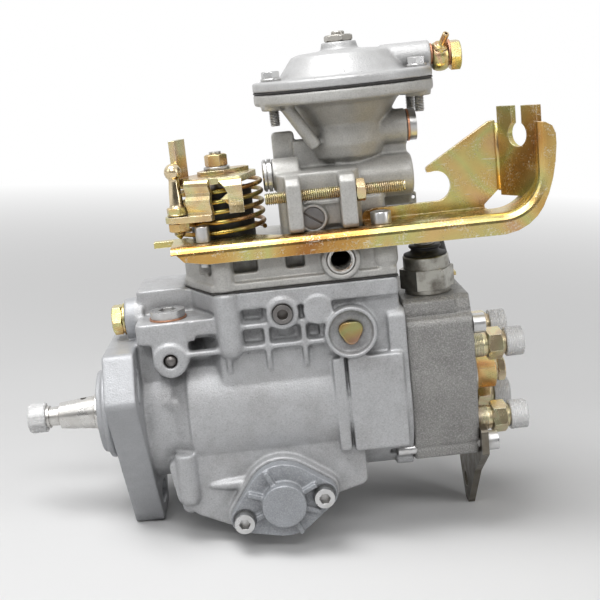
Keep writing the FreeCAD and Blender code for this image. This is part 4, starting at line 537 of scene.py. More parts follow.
black_rubber = dull_polymer("black rubber", (0.022, 0.022, 0.023), 0.55)
black_plastic = dull_polymer("black plastic", (0.03, 0.03, 0.031), 0.42)
gasket_paper = dull_polymer("gasket", (0.05, 0.048, 0.045), 0.7)
dark_rubber = dull_polymer("diaphragm rubber", (0.028, 0.026, 0.025), 0.6)

clear_plastic, tree, surface = start_material(
    "milky plastic", Transmission_Weight=0.38, IOR=1.4, Base_Color=(0.98, 0.98, 0.98, 1)
)
where = place(tree, "TexCoord").outputs["Object"]
cloud = place(tree, "TexNoise", {"Vector": where, "Scale": 300.0, "Detail": 4.0}).outputs["Fac"]
tree.links.new(spread(tree, cloud, 0.35, 0.65, 0.12, 0.34), surface.inputs["Roughness"])
relief(tree, surface, cloud, 0.00006, 0.5)
print("all materials:", len(bpy.data.materials))

# %% [markdown]
# A finish for every solid
#
# The record names a material slot for each solid. Most take the finish of their slot; a few that
# stay as they are have a finish of their own, such as the support plate, whose dark colour is
# painted shade. Solids that a finer piece replaces later get theirs from that piece.

# %% Dress the solids
slot_finish = {
    "cast_aluminium": housing_casting, "cast_iron": head_iron, "steel": ground_steel, "zinc": bright_zinc,
    "gold_zinc": screw_gold, "copper": bare_copper, "bronze": bearing_bronze, "brass": terminal_brass,
    "black_rubber": black_rubber, "black_plastic": black_plastic, "clear_cap": clear_plastic,
    "gasket": gasket_paper,
}
own_finish = {
    "rear_support_plate": shaded_plate_steel, "core_plugs": dark_ball, "solenoid_body": stained_steel,
    "boost_diaphragm": dark_rubber,
}


def dress(thing, material):
    thing.data.materials.clear()
    thing.data.materials.append(material)


for name, solid in frame["nodes"].items():
    slot = solid.data.materials[0].name if solid.data.materials else "steel"
    dress(solid, own_finish.get(name) or slot_finish.get(slot) or housing_casting)
print("dressed", len(frame["nodes"]), "solids")

# %% [markdown]
# Turning on a lathe
#
# The fine pieces are made as meshes in millimetres, standing on Z, and then set down where they
# belong. Most are turned: a lathe carries a profile round the axis. A hexagon head is turned too, with
# an outline that follows six flats, because its corners are then chamfered as on a real bolt. Each
# builder returns the vertices it made, so that they can be placed.

# %% Lathe and hexagon
def lathe(mesh, profile, sides=64, outline=None):
    """Turns (height, radius) points round Z. Outline may change the radius with the angle."""
    rings = []
    for height, radius in profile:
        ring = []
        for k in range(sides):
            angle = 2 * math.pi * k / sides
            r = outline(angle, height, radius) if outline else radius
            ring.append(mesh.verts.new((r * math.cos(angle), r * math.sin(angle), height)))
        rings.append(ring)
    for low, high in zip(rings, rings[1:]):
        for k in range(sides):
            n = (k + 1) % sides
            mesh.faces.new((low[k], low[n], high[n], high[k]))
    if profile[0][1] > 0 and profile[0] != profile[-1]:
        mesh.faces.new(rings[0][::-1])
        mesh.faces.new(rings[-1])
    return [v for ring in rings for v in ring]


def hexagon(angle, flats):
    """Distance from the axis to a hexagon's side, at an angle."""
    part = (angle + math.pi / 6) % (math.pi / 3) - math.pi / 6
    return flats / 2 / math.cos(part)


def hex_head(mesh, flats, height, low_chamfer=True, high_chamfer=True):
    """Hexagon with the corners turned off at 30 degrees, as on a real bolt head or nut."""
    corner, inner, steps = flats / math.sqrt(3), flats * 0.475, 5
    drop = (corner - inner) * math.tan(math.radians(30))

    def outline(angle, level, radius):
        return min(radius, hexagon(angle, flats))

    bottom = [(drop * i / steps, inner + (corner - inner) * i / steps) for i in range(steps + 1)]
    top = [(height - z, r) for z, r in bottom[::-1]]
    profile = (bottom if low_chamfer else [(0, corner)]) + (top if high_chamfer else [(height, corner)])
    return lathe(mesh, profile, 96, outline)


print("a 10 mm hexagon is", round(hexagon(math.pi / 6, 10) * 2, 2), "mm over its corners")

# %% [markdown]
# Threads
#
# A thread that shows is a real helix and not a stack of rings, so that its lines lean as on a screw.
# Four rows of points make one turn of the groove, and each ring climbs by one pitch as it goes round,
# so the last column joins the first one four rows further on. The ends are cut flat.

# %% Thread
def thread(mesh, radius, pitch, length, sides=40, sharp=0.61):
    """Rod with a helical thread; the groove is cut to the standard depth."""
    depth = sharp * pitch
    core = radius - depth
    rows = int(length / pitch * 4) + 8
    grid = []
    for i in range(rows):
        wanted = (radius, radius, core, core)[i % 4]
        ring = []
        for k in range(sides):
            angle = 2 * math.pi * k / sides
            z = (i // 4) * pitch + (0, 0.15, 0.5, 0.65)[i % 4] * pitch + pitch * k / sides - pitch
            z = min(max(z, 0.0), length)
            end = min(z, length - z)
            r = min(wanted, core + end) if end < depth else wanted
            ring.append(mesh.verts.new((r * math.cos(angle), r * math.sin(angle), z)))
        grid.append(ring)
    for i in range(rows - 1):
        for k in range(sides - 1):
            mesh.faces.new((grid[i][k], grid[i][k + 1], grid[i + 1][k + 1], grid[i + 1][k]))
        if i + 5 < rows:
            mesh.faces.new((grid[i][-1], grid[i + 4][0], grid[i + 5][0], grid[i + 1][-1]))
    made = [v for ring in grid for v in ring]
    return made + lathe(mesh, [(0, core), (length, core)], sides)


# %% [markdown]
# Flat plates and wire
#
# A flat plate is an outline pushed up by its thickness. Round wire is a ring of points carried along
# a path. The ring is turned only as much as the path turns, so the wire doesn't twist.

# %% Prism and tube
def prism(mesh, outline, low, high):
    """Pushes a flat outline of (x, y) points from low to high."""
    under = [mesh.verts.new((x, y, low)) for x, y in outline]
    over = [mesh.verts.new((x, y, high)) for x, y in outline]
    mesh.faces.new(under[::-1])
    mesh.faces.new(over)
    for i in range(len(outline)):
        n = (i + 1) % len(outline)
        mesh.faces.new((under[i], under[n], over[n], over[i]))
    return under + over


def tube(mesh, path, radius, sides=14):
    """Round wire along a path, carried without twist."""
    points = [Vector(p) for p in path]
    heading = (points[1] - points[0]).normalized()
    side = heading.orthogonal().normalized()
    rings = []
    for i, point in enumerate(points):
        ahead = points[min(i + 1, len(points) - 1)] - points[max(i - 1, 0)]
        turn = heading.rotation_difference(ahead.normalized())
        side = turn @ side
        heading = ahead.normalized()
        lift = heading.cross(side)
        ring = []
        for k in range(sides):
            angle = 2 * math.pi * k / sides
            ring.append(mesh.verts.new(point + (side * math.cos(angle) + lift * math.sin(angle)) * radius))
        rings.append(ring)
    for low, high in zip(rings, rings[1:]):
        for k in range(sides):
            n = (k + 1) % sides
            mesh.faces.new((low[k], low[n], high[n], high[k]))
    mesh.faces.new(rings[0][::-1])
    mesh.faces.new(rings[-1])
    return [v for ring in rings for v in ring]


# %% [markdown]
# Setting a piece down
#
# A finished mesh is turned from Z to the axis it belongs on and moved to its place. Then it becomes
# an object in metres with smooth faces and sharp edges where the angle is large, rides on its body
# and takes the place of the solid it stands for.

# %% Set down and hand over
STAND = {
    "Z": Matrix.Identity(3), "X": Matrix(((0, 0, 1), (1, 0, 0), (0, 1, 0))),
    "-Y": Matrix(((1, 0, 0), (0, 0, -1), (0, 1, 0))),
}


def set_down(made, at, axis="Z", spin=0.0):
    """Moves vertices that stand on Z so that they stand on the given axis at a point."""
    turn = STAND[axis] @ Matrix.Rotation(math.radians(spin), 3, "Z")
    for vert in made:
        vert.co = turn @ vert.co + Vector(at)


def piece(name, mesh, material, body, *replaced, slot="steel", angle=32):
    """Turns millimetres to metres, makes the object and hands it to its body."""
    bmesh.ops.remove_doubles(mesh, verts=mesh.verts, dist=0.0005)
    bmesh.ops.recalc_face_normals(mesh, faces=mesh.faces)
    bmesh.ops.scale(mesh, vec=(mm, mm, mm), verts=mesh.verts)
    data = bpy.data.meshes.new(name)
    mesh.to_mesh(data)
    mesh.free()
    data.polygons.foreach_set("use_smooth", [True] * len(data.polygons))
    data.set_sharp_from_angle(angle=math.radians(angle))
    thing = bpy.data.objects.new(name, data)
    bpy.context.collection.objects.link(thing)
    dress(thing, material)
    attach(thing, body)
    if replaced:
        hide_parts(*replaced)
    print(name, len(data.polygons), "faces, in place of", ", ".join(replaced) or "nothing")


print("axes a piece can stand on:", list(STAND))

# %% [markdown]
# Cast skins
#
# A casting has no sharp corner anywhere: the mould's sand rounds every edge and fills every inner
# corner. The measured solid is copied, rebuilt as an even net of small faces and smoothed a little,
# so that edges roll over and inner corners fill, while the outline stays where it was.

# %% Cast skin
def copy_solid(node, name):
    """A free copy of a measured solid, to be reshaped and shown in its place."""
    source = frame["nodes"][node]
    copy = source.copy()
    copy.data = source.data.copy()
    copy.name = name
    for key in list(copy.keys()):
        del copy[key]
    bpy.context.collection.objects.link(copy)
    return source, copy


def soft_casting(node, fineness, rounds, material, added=None):
    """Skin of a casting: net size in millimetres, rounds of smoothing, and shapes to be added."""
    source, skin = copy_solid(node, node + "_skin")
    if added:
        bmesh.ops.recalc_face_normals(added, faces=added.faces)
        bmesh.ops.scale(added, vec=(mm, mm, mm), verts=added.verts)
        added.from_mesh(skin.data)
        added.to_mesh(skin.data)
        added.free()
    net = skin.modifiers.new("even net", "REMESH")
    net.mode = "VOXEL"
    net.voxel_size = fineness * mm
    net.use_smooth_shade = True
    ease = skin.modifiers.new("soft corners", "SMOOTH")
    ease.factor = 0.5
    ease.iterations = rounds
    done = bpy.data.meshes.new_from_object(skin.evaluated_get(bpy.context.evaluated_depsgraph_get()))
    skin.modifiers.clear()
    skin.data = done
    skin.parent = None
    dress(skin, material)
    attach(skin, source["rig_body"])
    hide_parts(node)
    print(node, len(done.polygons), "faces")
    return skin


# %% [markdown]
# Posts, ribs and the castings
#
# Some of the castings' forms are rounder than in the solids. Posts with half-ball ends, a pointed
# spur beside the timing cover and a gusset behind the flange are joined to the solid before its skin
# is made, so that the net melts them into the casting. Bigger castings get a coarser net.

# %% Castings' skins
def post(mesh, radius, low, high, x, y, round_end=False):
    """Closed round post; its lower end can be a half ball."""
    end = [(low, 0.02)]
    if round_end:
        steps = [math.radians(a) for a in range(6, 91, 12)]
        end = [(low - radius * math.cos(a), radius * math.sin(a)) for a in steps]
    set_down(lathe(mesh, end + [(low, radius), (high, radius), (high, 0.02)], 48), (x, y, 0))


columns = bmesh.new()
for side in (-1, 1):
    post(columns, 6.4, 38, 65.0, 63, 39.6 * side, round_end=True)
for side in (-1, 1):
    post(columns, 5.6, -37.5, -15, 33.5, 38 * side, round_end=True)
    spur = lathe(columns, [(0, 0.02), (2, 1.3), (9, 2.5), (20, 3.1), (20, 0.02)], 24)
    set_down(spur, (43, 39.5 * side, -33.5), "X")
    gusset = lathe(columns, [(0, 0.02), (1, 1.6), (8, 3.2), (15, 5.2), (17, 4.6), (17, 0.02)], 32)
    set_down(gusset, (16.5, 32.5 * side, 9.5), "X")
soft_casting("pump_housing", 0.7, 10, housing_casting, added=columns)
bosses = bmesh.new()
for side in (-1, 1):
    post(bosses, 5.4, 65.8, 86.5, 63, 38.6 * side)
soft_casting("governor_cover", 0.65, 9, cover_casting_painted_warm, added=bosses)
soft_casting("boost_cover", 0.6, 5, lid_casting_painted_lighter)
soft_casting("timing_cover_near", 0.5, 4, timing_casting)
soft_casting("timing_cover_far", 0.7, 4, timing_casting)
head = soft_casting("distributor_head", 0.8, 5, head_iron)

# %% [markdown]
# Head's side walls
#
# The head's real wall has a large round at its top edge, a set-back shoulder above it, and a lower
# part that leans in only a little. The skin's side walls are moved sideways to that section; the
# middle, with its holes, stays where it is.

# %% Head section
def old_wall(z):
    """Half width of the solid's side wall at height z."""
    return np.where(z >= 40.9, 39.2, np.where(z >= 3, 38.0, 38 - 13 * (3 - z) / 39))


def new_wall(z):
    """Half width of the real wall: shoulder, round top edge, flat middle and leaning foot."""
    t = (3 - z) / 39
    low = 38 - 5 * t - np.where(t > 0.93, (t - 0.93) * 45, 0)
    round_top = 33.5 + np.sqrt(np.clip(20.25 - np.clip(z - 36.5, 0, 4.5) ** 2, 0, None))
    high = 33.5 - np.clip(z - 41, 0, 6) * 0.12 - np.clip(z - 47, 0, 3) ** 2 * 0.35
    return np.where(z >= 41, high, np.where(z >= 36.5, round_top, np.where(z >= 3, 38.0, low)))


count = len(head.data.vertices)
points = np.empty(count * 3, dtype=np.float32)
head.data.vertices.foreach_get("co", points)
points = points.reshape(-1, 3) / mm
inner = np.minimum(np.where(points[:, 2] > 30, 28.5, 25.6), old_wall(points[:, 2]) - 1.5)
side = np.abs(points[:, 1])
share = np.clip((side - inner) / (old_wall(points[:, 2]) - inner), 0, 1.05)
moved = side + share * (new_wall(points[:, 2]) - old_wall(points[:, 2]))
points[:, 1] = np.where(side > inner, np.sign(points[:, 1]) * moved, points[:, 1])
head.data.vertices.foreach_set("co", (points * mm).ravel())
head.data.update()
print("head wall moved, widest", round(float(np.abs(points[:, 1]).max()), 1), "mm")

# %% [markdown]
# Compensator screws and nut
#
# Four bright hexagon screws hold the lid; their threaded ends show under the bowl. A thin nut sits
# on the lid's neck.

# %% Compensator fittings
bowl_x, screw_ring = 132, 39
mesh = bmesh.new()
for angle in (23.4, 156.6, 203.4, 336.6):
    x = bowl_x + screw_ring * math.cos(math.radians(angle))
    y = screw_ring * math.sin(math.radians(angle))
    set_down(lathe(mesh, [(0, 4.9), (0.3, 5.0), (0.9, 5.0), (1.2, 4.6)], 48), (x, y, 162.7))
    set_down(hex_head(mesh, 8, 3.6, low_chamfer=False), (x, y, 163.7), spin=angle * 3)
    set_down(thread(mesh, 2.5, 0.8, 21.9, 32), (x, y, 140.9))
piece("lid_screws", mesh, bright_zinc, "pump", "boost_cover_screws", slot="zinc")

mesh = bmesh.new()
set_down(hex_head(mesh, 13, 3.4), (bowl_x, 0, 178.4), spin=8)
set_down(lathe(mesh, [(0, 3.3), (4.6, 3.3), (5.1, 2.8), (5.1, 2.0), (4.7, 1.8)], 40), (bowl_x, 0, 178.5))
piece("lid_nut", mesh, nut_steel, "pump", "boost_adjuster", slot="zinc")

# %% [markdown]
# Air banjo
#
# The banjo is a turned ring on the bolt's axis. Its little pipe leans up and forwards, so it is turned
# from Z to that slanted direction instead of one of the plain axes. A gold bolt clamps it.

# %% Air banjo
mesh = bmesh.new()
eye_x, eye_y, eye_z = 176.3, -4, 166.2
barrel = [
    (1.2, 4.1), (1.2, 5.6), (1.7, 6.4), (3.2, 7.1), (5.1, 7.3), (7.0, 7.1), (8.5, 6.4), (9.0, 5.6),
    (9.0, 4.1),
]
set_down(lathe(mesh, barrel, 64), (eye_x, eye_y, eye_z), "X")
pipe = [(0, 3.7), (1.6, 3.5), (2.0, 2.2), (2.6, 1.75), (8.6, 1.6), (8.9, 1.4), (8.9, 0.9), (7.0, 0.9)]
made = lathe(mesh, pipe, 40)
lean = Vector((0.30, -0.60, 0.74)).normalized()
turn = Vector((0, 0, 1)).rotation_difference(lean).to_matrix()
for vert in made:
    vert.co = turn @ vert.co + Vector((181.2, -8.4, 170.2))
piece("air_banjo", mesh, screw_gold, "pump", "boost_banjo", slot="gold_zinc")
mesh = bmesh.new()
set_down(hex_head(mesh, 13.6, 5.2, low_chamfer=False), (eye_x + 10.1, eye_y, eye_z), "X", 38)
set_down(lathe(mesh, [(-8, 4.0), (0.5, 4.0)], 32), (eye_x + 10.1, eye_y, eye_z), "X")
piece("air_bolt", mesh, screw_gold, "pump", slot="gold_zinc")

# %% [markdown]
# Speed screw, stop sleeve and bracket bolt
#
# The long adjusting screw runs through two ears of the cover, with a gold lock nut. Its thread is a
# real helix. A plain sleeve stops the lever, and a socket screw holds the bracket down.

# %% Screws on the cover and bracket
def socket_head(mesh, radius, socket):
    """Cap screw head standing on Z, with a chamfer and a hexagon socket."""
    high = radius * 2
    head = radius * 5 / 3
    inner = socket / 2 / math.cos(math.pi / 6)

    def outline(angle, level, r):
        return hexagon(angle, socket) if abs(r - inner) < 1e-6 else r

    profile = [
        (0, head - 0.2), (0.2, head), (high - 0.5, head), (high - 0.15, head - 0.2), (high, head - 0.6),
        (high, inner + 0.35), (high - 0.3, inner), (high * 0.45, inner), (high * 0.4, 0.05),
    ]
    return lathe(mesh, profile, 72, outline)


screw_y, screw_z = -39, 108.2
mesh = bmesh.new()
set_down(thread(mesh, 3.0, 1.0, 66.6, 40), (87.2, screw_y, screw_z), "X")
set_down(lathe(mesh, [(0, 2.2), (0.5, 2.6), (0.9, 2.6)], 40), (153.6, screw_y, screw_z), "X")
piece("speed_screw_rod", mesh, lever_gold, "pump", "speed_screw", slot="gold_zinc", angle=50)
mesh = bmesh.new()
set_down(hex_head(mesh, 10, 4.6), (130.75, screw_y, screw_z), "X", 12)
piece("speed_lock_nut", mesh, lever_gold, "pump", slot="gold_zinc")

bolt_at, sleeve_at = (142, -36, 90.5), (55.5, -37, 90.5)
mesh = bmesh.new()
set_down(socket_head(mesh, 3.0, 5.0), bolt_at, spin=10)
sleeve = [(0, 2.5), (0, 3.0), (0.3, 3.5), (7.7, 3.5), (8.0, 3.2), (8.0, 1.6), (6.5, 1.4)]
set_down(lathe(mesh, sleeve, 56), sleeve_at)
set_down(lathe(mesh, [(-12, 2.5), (0.5, 2.5)], 32), sleeve_at)
set_down(lathe(mesh, [(-12, 3.0), (0.5, 3.0)], 32), bolt_at)
piece("bracket_bolt", mesh, bright_zinc, "pump", "bracket_screws", slot="zinc")

# %% [markdown]
# Bracket fold
#
# The keyhole wall is bent out of the bracket's rear leaf. The solids meet in a sharp corner there; a
# thin round bar along it shows the bend's radius.

# %% Bracket fold
mesh = bmesh.new()
set_down(lathe(mesh, [(0, 0.6), (0.8, 1.45), (32.6, 1.45), (33.4, 0.8)], 32), (204.3, -20.2, 98.2))
piece("wall_fold", mesh, bracket_gold, "pump", slot="gold_zinc", angle=60)

# %% [markdown]
# Lever tab and bracket tip
#
# The tab that holds the return spring is cut from the lever's own sheet and narrows to a strip below
# its bend, and the bracket's rail ends in a short tongue under the lever. Both solids are a little
# plainer there, so a copy of each has those few corners moved.

# %% Lever tab and bracket tip
lever_top, plate_edge, tongue_end = 121, -39.9, 36


def redrawn_sheet(node, name, finish, move):
    """Copy of a bent sheet whose corners are shifted along X by move(x, y, z), all in mm."""
    source, sheet = copy_solid(node, name)
    for vertex in sheet.data.vertices:
        vertex.co.x += move(*(vertex.co / mm)) * mm
    sheet.parent = None
    dress(sheet, finish)
    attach(sheet, source["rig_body"])
    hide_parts(node)
    print(name, "redrawn from", len(sheet.data.vertices), "corners")


def narrow_tab(x, y, z):
    """Draws in the tab's left side, 4 mm at most, from its bend downwards."""
    depth = lever_top - z
    on_tab = 65.5 < x < 68 and y < plate_edge and depth > 3.3
    return min(4.0, (depth - 2.5) * 1.6) if on_tab else 0


def long_tongue(x, y, z):
    """Lengthens the tongue at the rail's front end."""
    return -4.2 if x < tongue_end else 0


redrawn_sheet("throttle_lever", "lever_sheet", lever_gold, narrow_tab)
redrawn_sheet("cable_bracket", "bracket_sheet", bracket_gold, long_tongue)

# %% [markdown]
# Lever end: ball stud and nut
#
# The cable snaps onto a polished ball. Below it the neck widens to a hexagon, a short thread passes
# through the lever's end, and a nut with the stud's cone tip shows underneath.

# %% Ball stud
ball_x, ball_y, ball_z = 44.5, -33, 125.2
lever_x, lever_y = 64.8, -13
mesh = bmesh.new()
arc = [(-4.1 * math.cos(math.radians(a)), 4.1 * math.sin(math.radians(a))) for a in range(38, 180, 6)]
neck = [(-18.0, 4.3), (-17.2, 4.3), (-16.6, 3.6), (-15.4, 3.35), (-9.0, 2.95), (-4.6, 2.45), (-3.6, 2.4)]
set_down(lathe(mesh, neck + arc + [(4.1, 0.02)], 64), (ball_x, ball_y, ball_z))
piece("ball_and_neck", mesh, ball_gold, "throttle", "ball_stud", slot="gold_zinc", angle=40)
mesh = bmesh.new()
set_down(hex_head(mesh, 9.4, 3.4), (ball_x, ball_y, 104.9), spin=14)
set_down(lathe(mesh, [(-3.2, 4.9), (-2.8, 5.2), (-2.4, 4.9)], 48), (ball_x, ball_y, 107.6))
set_down(thread(mesh, 2.9, 0.8, 10.6, 32), (ball_x, ball_y, 94.6))
set_down(lathe(mesh, [(0, 0.05), (2.3, 2.5), (2.4, 2.5)], 40), (ball_x, ball_y, 92.4))
set_down(hex_head(mesh, 9.8, 4.3), (ball_x, ball_y, 96.6), spin=4)
piece("stud_nuts", mesh, screw_gold, "throttle", slot="gold_zinc")

# %% [markdown]
# Nut, washer and plate on the lever
#
# The lever is clamped on its shaft by a gold nut on a bright washer. A second, smaller plate lies
# under the washer, on top of the lever's own sheet.

# %% Lever nut
mesh = bmesh.new()
set_down(hex_head(mesh, 10, 6.0), (lever_x, lever_y, 124.2), spin=20)
set_down(lathe(mesh, [(0, 3.0), (1.2, 3.0), (1.5, 2.6), (1.5, 1.1), (0.8, 0.9)], 40), (lever_x, lever_y, 129.8))
piece("lever_top_nut", mesh, screw_gold, "throttle", "lever_nut", slot="gold_zinc")
mesh = bmesh.new()
washer = [(0, 5.1), (0, 6.3), (0.2, 6.5), (1.2, 6.5), (1.4, 6.3), (1.4, 5.1)]
set_down(lathe(mesh, washer, 56), (lever_x, lever_y, 122.8))
piece("lever_washer", mesh, bright_zinc, "throttle", slot="zinc")
mesh = bmesh.new()
top_plate = [(55.2, -19.5), (57.0, -23.6), (68.5, -22.9), (80.6, -11.0), (78.5, -5.2), (60.5, -5.6)]
prism(mesh, top_plate, lever_top, lever_top + 1.8)
piece("lever_top_plate", mesh, lever_gold, "throttle", slot="gold_zinc")

# %% [markdown]
# Return spring
#
# The lever's spring is wound in round wire over the black spool. It climbs evenly, but the end coils
# lie flat, as they are pressed against the lever and the bracket.

# %% Return spring
turns, low, high, coil_r, wire = 5.7, 91.9, 116.9, 20.8, 1.15
mesh = bmesh.new()
path = []
steps = int(turns * 40)
for i in range(steps + 1):
    t = i / steps
    angle = 2 * math.pi * turns * t
    ease = min(max((t - 0.06) / 0.88, 0.0), 1.0)
    x, y = lever_x + coil_r * math.cos(angle), lever_y + coil_r * math.sin(angle)
    path.append((x, y, low + (high - low) * ease))
tube(mesh, path, wire, 16)
piece("lever_spring", mesh, spring_gold, "pump", "return_spring", slot="gold_zinc", angle=60)

# %% [markdown]
# Fuel outlets
#
# Each delivery valve holder has a threaded foot, a plated hexagon and a thread for the pipe union,
# closed by a milky plastic cap. Through the cap the thread shows as fine rings.

# %% Fuel outlets
face, spacing = 184.2, 19.8
holders = bmesh.new()
caps = bmesh.new()
for side in (-spacing, spacing):
    for level in (-spacing, spacing):
        centre = (face, side, level)
        foot = [(0, 6.6)] + [(0.4 + 0.8 * i / 2, 6.6 if i % 2 else 6.35) for i in range(14)]
        foot += [(6.6, 6.2), (8, 6.2)]
        set_down(lathe(holders, foot, 48), centre, "X")
        set_down(hex_head(holders, 14.6, 8.0), (face + 7.9, side, level), "X", 5 + side)
        set_down(lathe(holders, [(15.8, 6.3), (16.6, 6.3), (16.8, 5.6), (17.4, 5.6)], 48), centre, "X")
        set_down(thread(holders, 6.0, 1.5, 7.4, 48), (face + 17.2, side, level), "X")
        cap = [(17.8, 6.15), (17.8, 7.3), (18.1, 7.6)]
        cap += [(18.4 + 0.5 * i, 7.62 if i % 2 else 7.44) for i in range(15)]
        cap += [(26.0, 7.6), (26.6, 7.2), (26.8, 6.6), (26.9, 5.6), (27.0, 0.05)]
        set_down(lathe(caps, cap, 72), centre, "X")
        set_down(lathe(caps, [(17.8, 6.15), (25.6, 6.15), (25.6, 0.05)], 72), centre, "X")
piece("valve_holders", holders, valve_gold, "pump", "delivery_valve_holders")
piece("union_caps", caps, clear_plastic, "pump", "outlet_caps", slot="clear_cap", angle=20)

# %% [markdown]
# Centre plug
#
# Between the four outlets a large plug closes the plunger's bore, on two washers. The small screw in
# its middle is opened only to measure the plunger's stroke.

# %% Centre plug
mesh = bmesh.new()
rings = [
    (0, 10.8), (0.3, 11.2), (1.9, 11.2), (2.2, 10.9), (2.3, 11.5), (2.6, 11.9), (4.2, 11.9), (4.5, 11.5),
]
set_down(lathe(mesh, rings, 72), (face, 0, 0), "X")
piece("plug_washers", mesh, bright_zinc, "pump")
mesh = bmesh.new()
set_down(hex_head(mesh, 19.4, 10.4, low_chamfer=False), (face + 4.5, 0, 0), "X", 10)
piece("centre_plug", mesh, plug_gold, "pump", "head_plug")
mesh = bmesh.new()
set_down(lathe(mesh, [(0, 5.6), (0, 6.2), (1.2, 6.2), (1.4, 6.0), (1.4, 5.6)], 48), (face + 14.9, 0, 0), "X")
set_down(hex_head(mesh, 12, 4.4), (face + 16.3, 0, 0), "X", 28)
piece("test_screw", mesh, valve_gold, "pump", "bleed_screw")

# %% [markdown]
# Lever shaft's cap
#
# A dull gold cap with three soft corners closes the lever shaft's boss on the housing.

# %% Shaft boss cap
def three_corners(angle, level, radius):
    """Swells the cap in three directions."""
    return radius * (1 + 0.12 * math.sin(3 * angle))


mesh = bmesh.new()
rows = [(0, 5.7), (2.2, 5.7), (2.6, 5.5), (2.8, 5.1), (2.8, 4.7), (2.65, 4.4), (2.65, 0.05)]
set_down(lathe(mesh, rows, 96, three_corners), (122, -41.5, 39.8), "-Y")
piece("boss_cap", mesh, cap_gold, "pump", "pivot_plug", slot="gold_zinc")

# %% [markdown]
# Solenoid boot and terminal
#
# A rubber boot with a waist and a thick bead closes the solenoid. The plated terminal nut sits on it.

# %% Solenoid boot
coil_x, coil_y = 165, -16
mesh = bmesh.new()
boot = [
    (0.1, 3.0), (0.1, 11.1), (0.5, 10.9), (1.0, 9.2), (1.7, 7.7), (2.4, 7.2), (3.0, 7.2), (3.5, 7.8),
    (4.0, 8.2), (4.6, 8.2), (5.1, 7.7), (5.3, 6.2), (5.4, 3.0),
]
set_down(lathe(mesh, boot, 72), (coil_x, coil_y, 69.5))
piece("rubber_boot", mesh, black_rubber, "pump", "solenoid_boot", slot="black_rubber", angle=50)
mesh = bmesh.new()
set_down(lathe(mesh, [(0, 3.0), (0, 5.4), (0.6, 5.4), (0.6, 3.0)], 48), (coil_x, coil_y, 74.9))
set_down(hex_head(mesh, 8, 4.4, low_chamfer=False), (coil_x, coil_y, 75.5), spin=8)
set_down(thread(mesh, 2.4, 0.8, 2.6, 32), (coil_x, coil_y, 79.6))
piece("terminal_nut", mesh, bright_zinc, "pump", "solenoid_terminal", slot="zinc")

# %% [markdown]
# Shaft cap and front bolt
#
# A clear plastic cap with grip ribs protects the shaft's thread. At the top left a gold bolt closes
# the inlet boss.

# %% Shaft cap and front bolt
def grip(angle, level, radius):
    """Ten ribs round the cap, where it is widest."""
    return radius + (0.28 if radius > 7.5 and math.sin(angle * 10) > 0.2 else 0.0)


mesh = bmesh.new()
shell = [
    (-50.4, 0.05), (-50.4, 6.6), (-50.1, 7.3), (-49.4, 7.6), (-48.6, 7.6), (-41.6, 7.6), (-41.2, 7.4),
    (-41.0, 6.15),
]
set_down(lathe(mesh, shell, 120, grip), (0, 0, 0), "X")
set_down(lathe(mesh, [(-41.0, 6.15), (-49.3, 6.15), (-49.3, 0.05)], 60), (0, 0, 0), "X")
piece("shaft_cap", mesh, clear_plastic, "drive", "thread_cap", slot="clear_cap", angle=40)
inlet_y, inlet_z = -12, 51.5
mesh = bmesh.new()
set_down(hex_head(mesh, 14, 5.4), (3.1, inlet_y, inlet_z), "X", 30)
set_down(lathe(mesh, [(0, 7.6), (0.3, 8.2), (1.2, 8.2), (1.5, 7.6)], 56), (8.5, inlet_y, inlet_z), "X")
set_down(lathe(mesh, [(0, 5.0), (12, 5.0)], 40), (9.0, inlet_y, inlet_z), "X")
piece("front_bolt", mesh, screw_gold, "pump", "inlet_bolt", slot="gold_zinc")

# %% [markdown]
# Return port
#
# The open fuel return under the bracket is a steel sleeve with a thread inside.

# %% Return port
mesh = bmesh.new()
rim = [(-15, 5.0), (-15, 7.0), (-0.5, 7.0), (0, 6.5), (0, 5.7), (-0.6, 5.2)]
rim += [(-0.8 - 0.5 * i, 5.25 if i % 2 else 4.95) for i in range(26)] + [(-15, 5.0)]
set_down(lathe(mesh, rim, 64), (120.4, -43.9, 75.9), "-Y")
piece("port_sleeve", mesh, ground_steel, "pump", "return_port", angle=25)

# %% [markdown]
# Floor
#
# The pump stands on two feet, the lowest flange ear and the foot of the support plate, so the pale
# floor is a plane through both. It keeps the shadow, and fades to plain white with distance, but only
# where the camera, a reflection or clear plastic looks at it, so that it adds no light to the pump.

# %% Floor
def only_seen(tree):
    """1 where the camera, a reflection or clear plastic looks, 0 where light is gathered."""
    ray = place(tree, "LightPath").outputs
    seen = arithmetic(tree, "MAXIMUM", ray["Is Camera Ray"], ray["Is Glossy Ray"])
    return arithmetic(tree, "MAXIMUM", seen, ray["Is Transmission Ray"])


front_foot = Vector((15.5, 0, -61.4)) * mm
rear_foot = Vector((187.0, 0, -81.8)) * mm
slope = math.atan2(rear_foot.z - front_foot.z, rear_foot.x - front_foot.x)
half_size, clearance, fade_from, fade_to = 9, 0.0002, 0.35, 1.7
floor_mesh = bmesh.new()
bmesh.ops.create_grid(floor_mesh, x_segments=1, y_segments=1, size=half_size)
floor_data = bpy.data.meshes.new("floor")
floor_mesh.to_mesh(floor_data)
floor = bpy.data.objects.new("floor", floor_data)
bpy.context.collection.objects.link(floor)
below = Matrix.Translation(front_foot - Vector((0, 0, clearance)))
floor.matrix_world = below @ Matrix.Rotation(-slope, 4, "Y")
print("floor slope", round(math.degrees(slope), 2), "degrees")

# %% [markdown]
# The floor's material
#
# Paper that is nearly white to the eye would throw a lot of light up at the pump, so the light it
# gathers sees a darker grey.

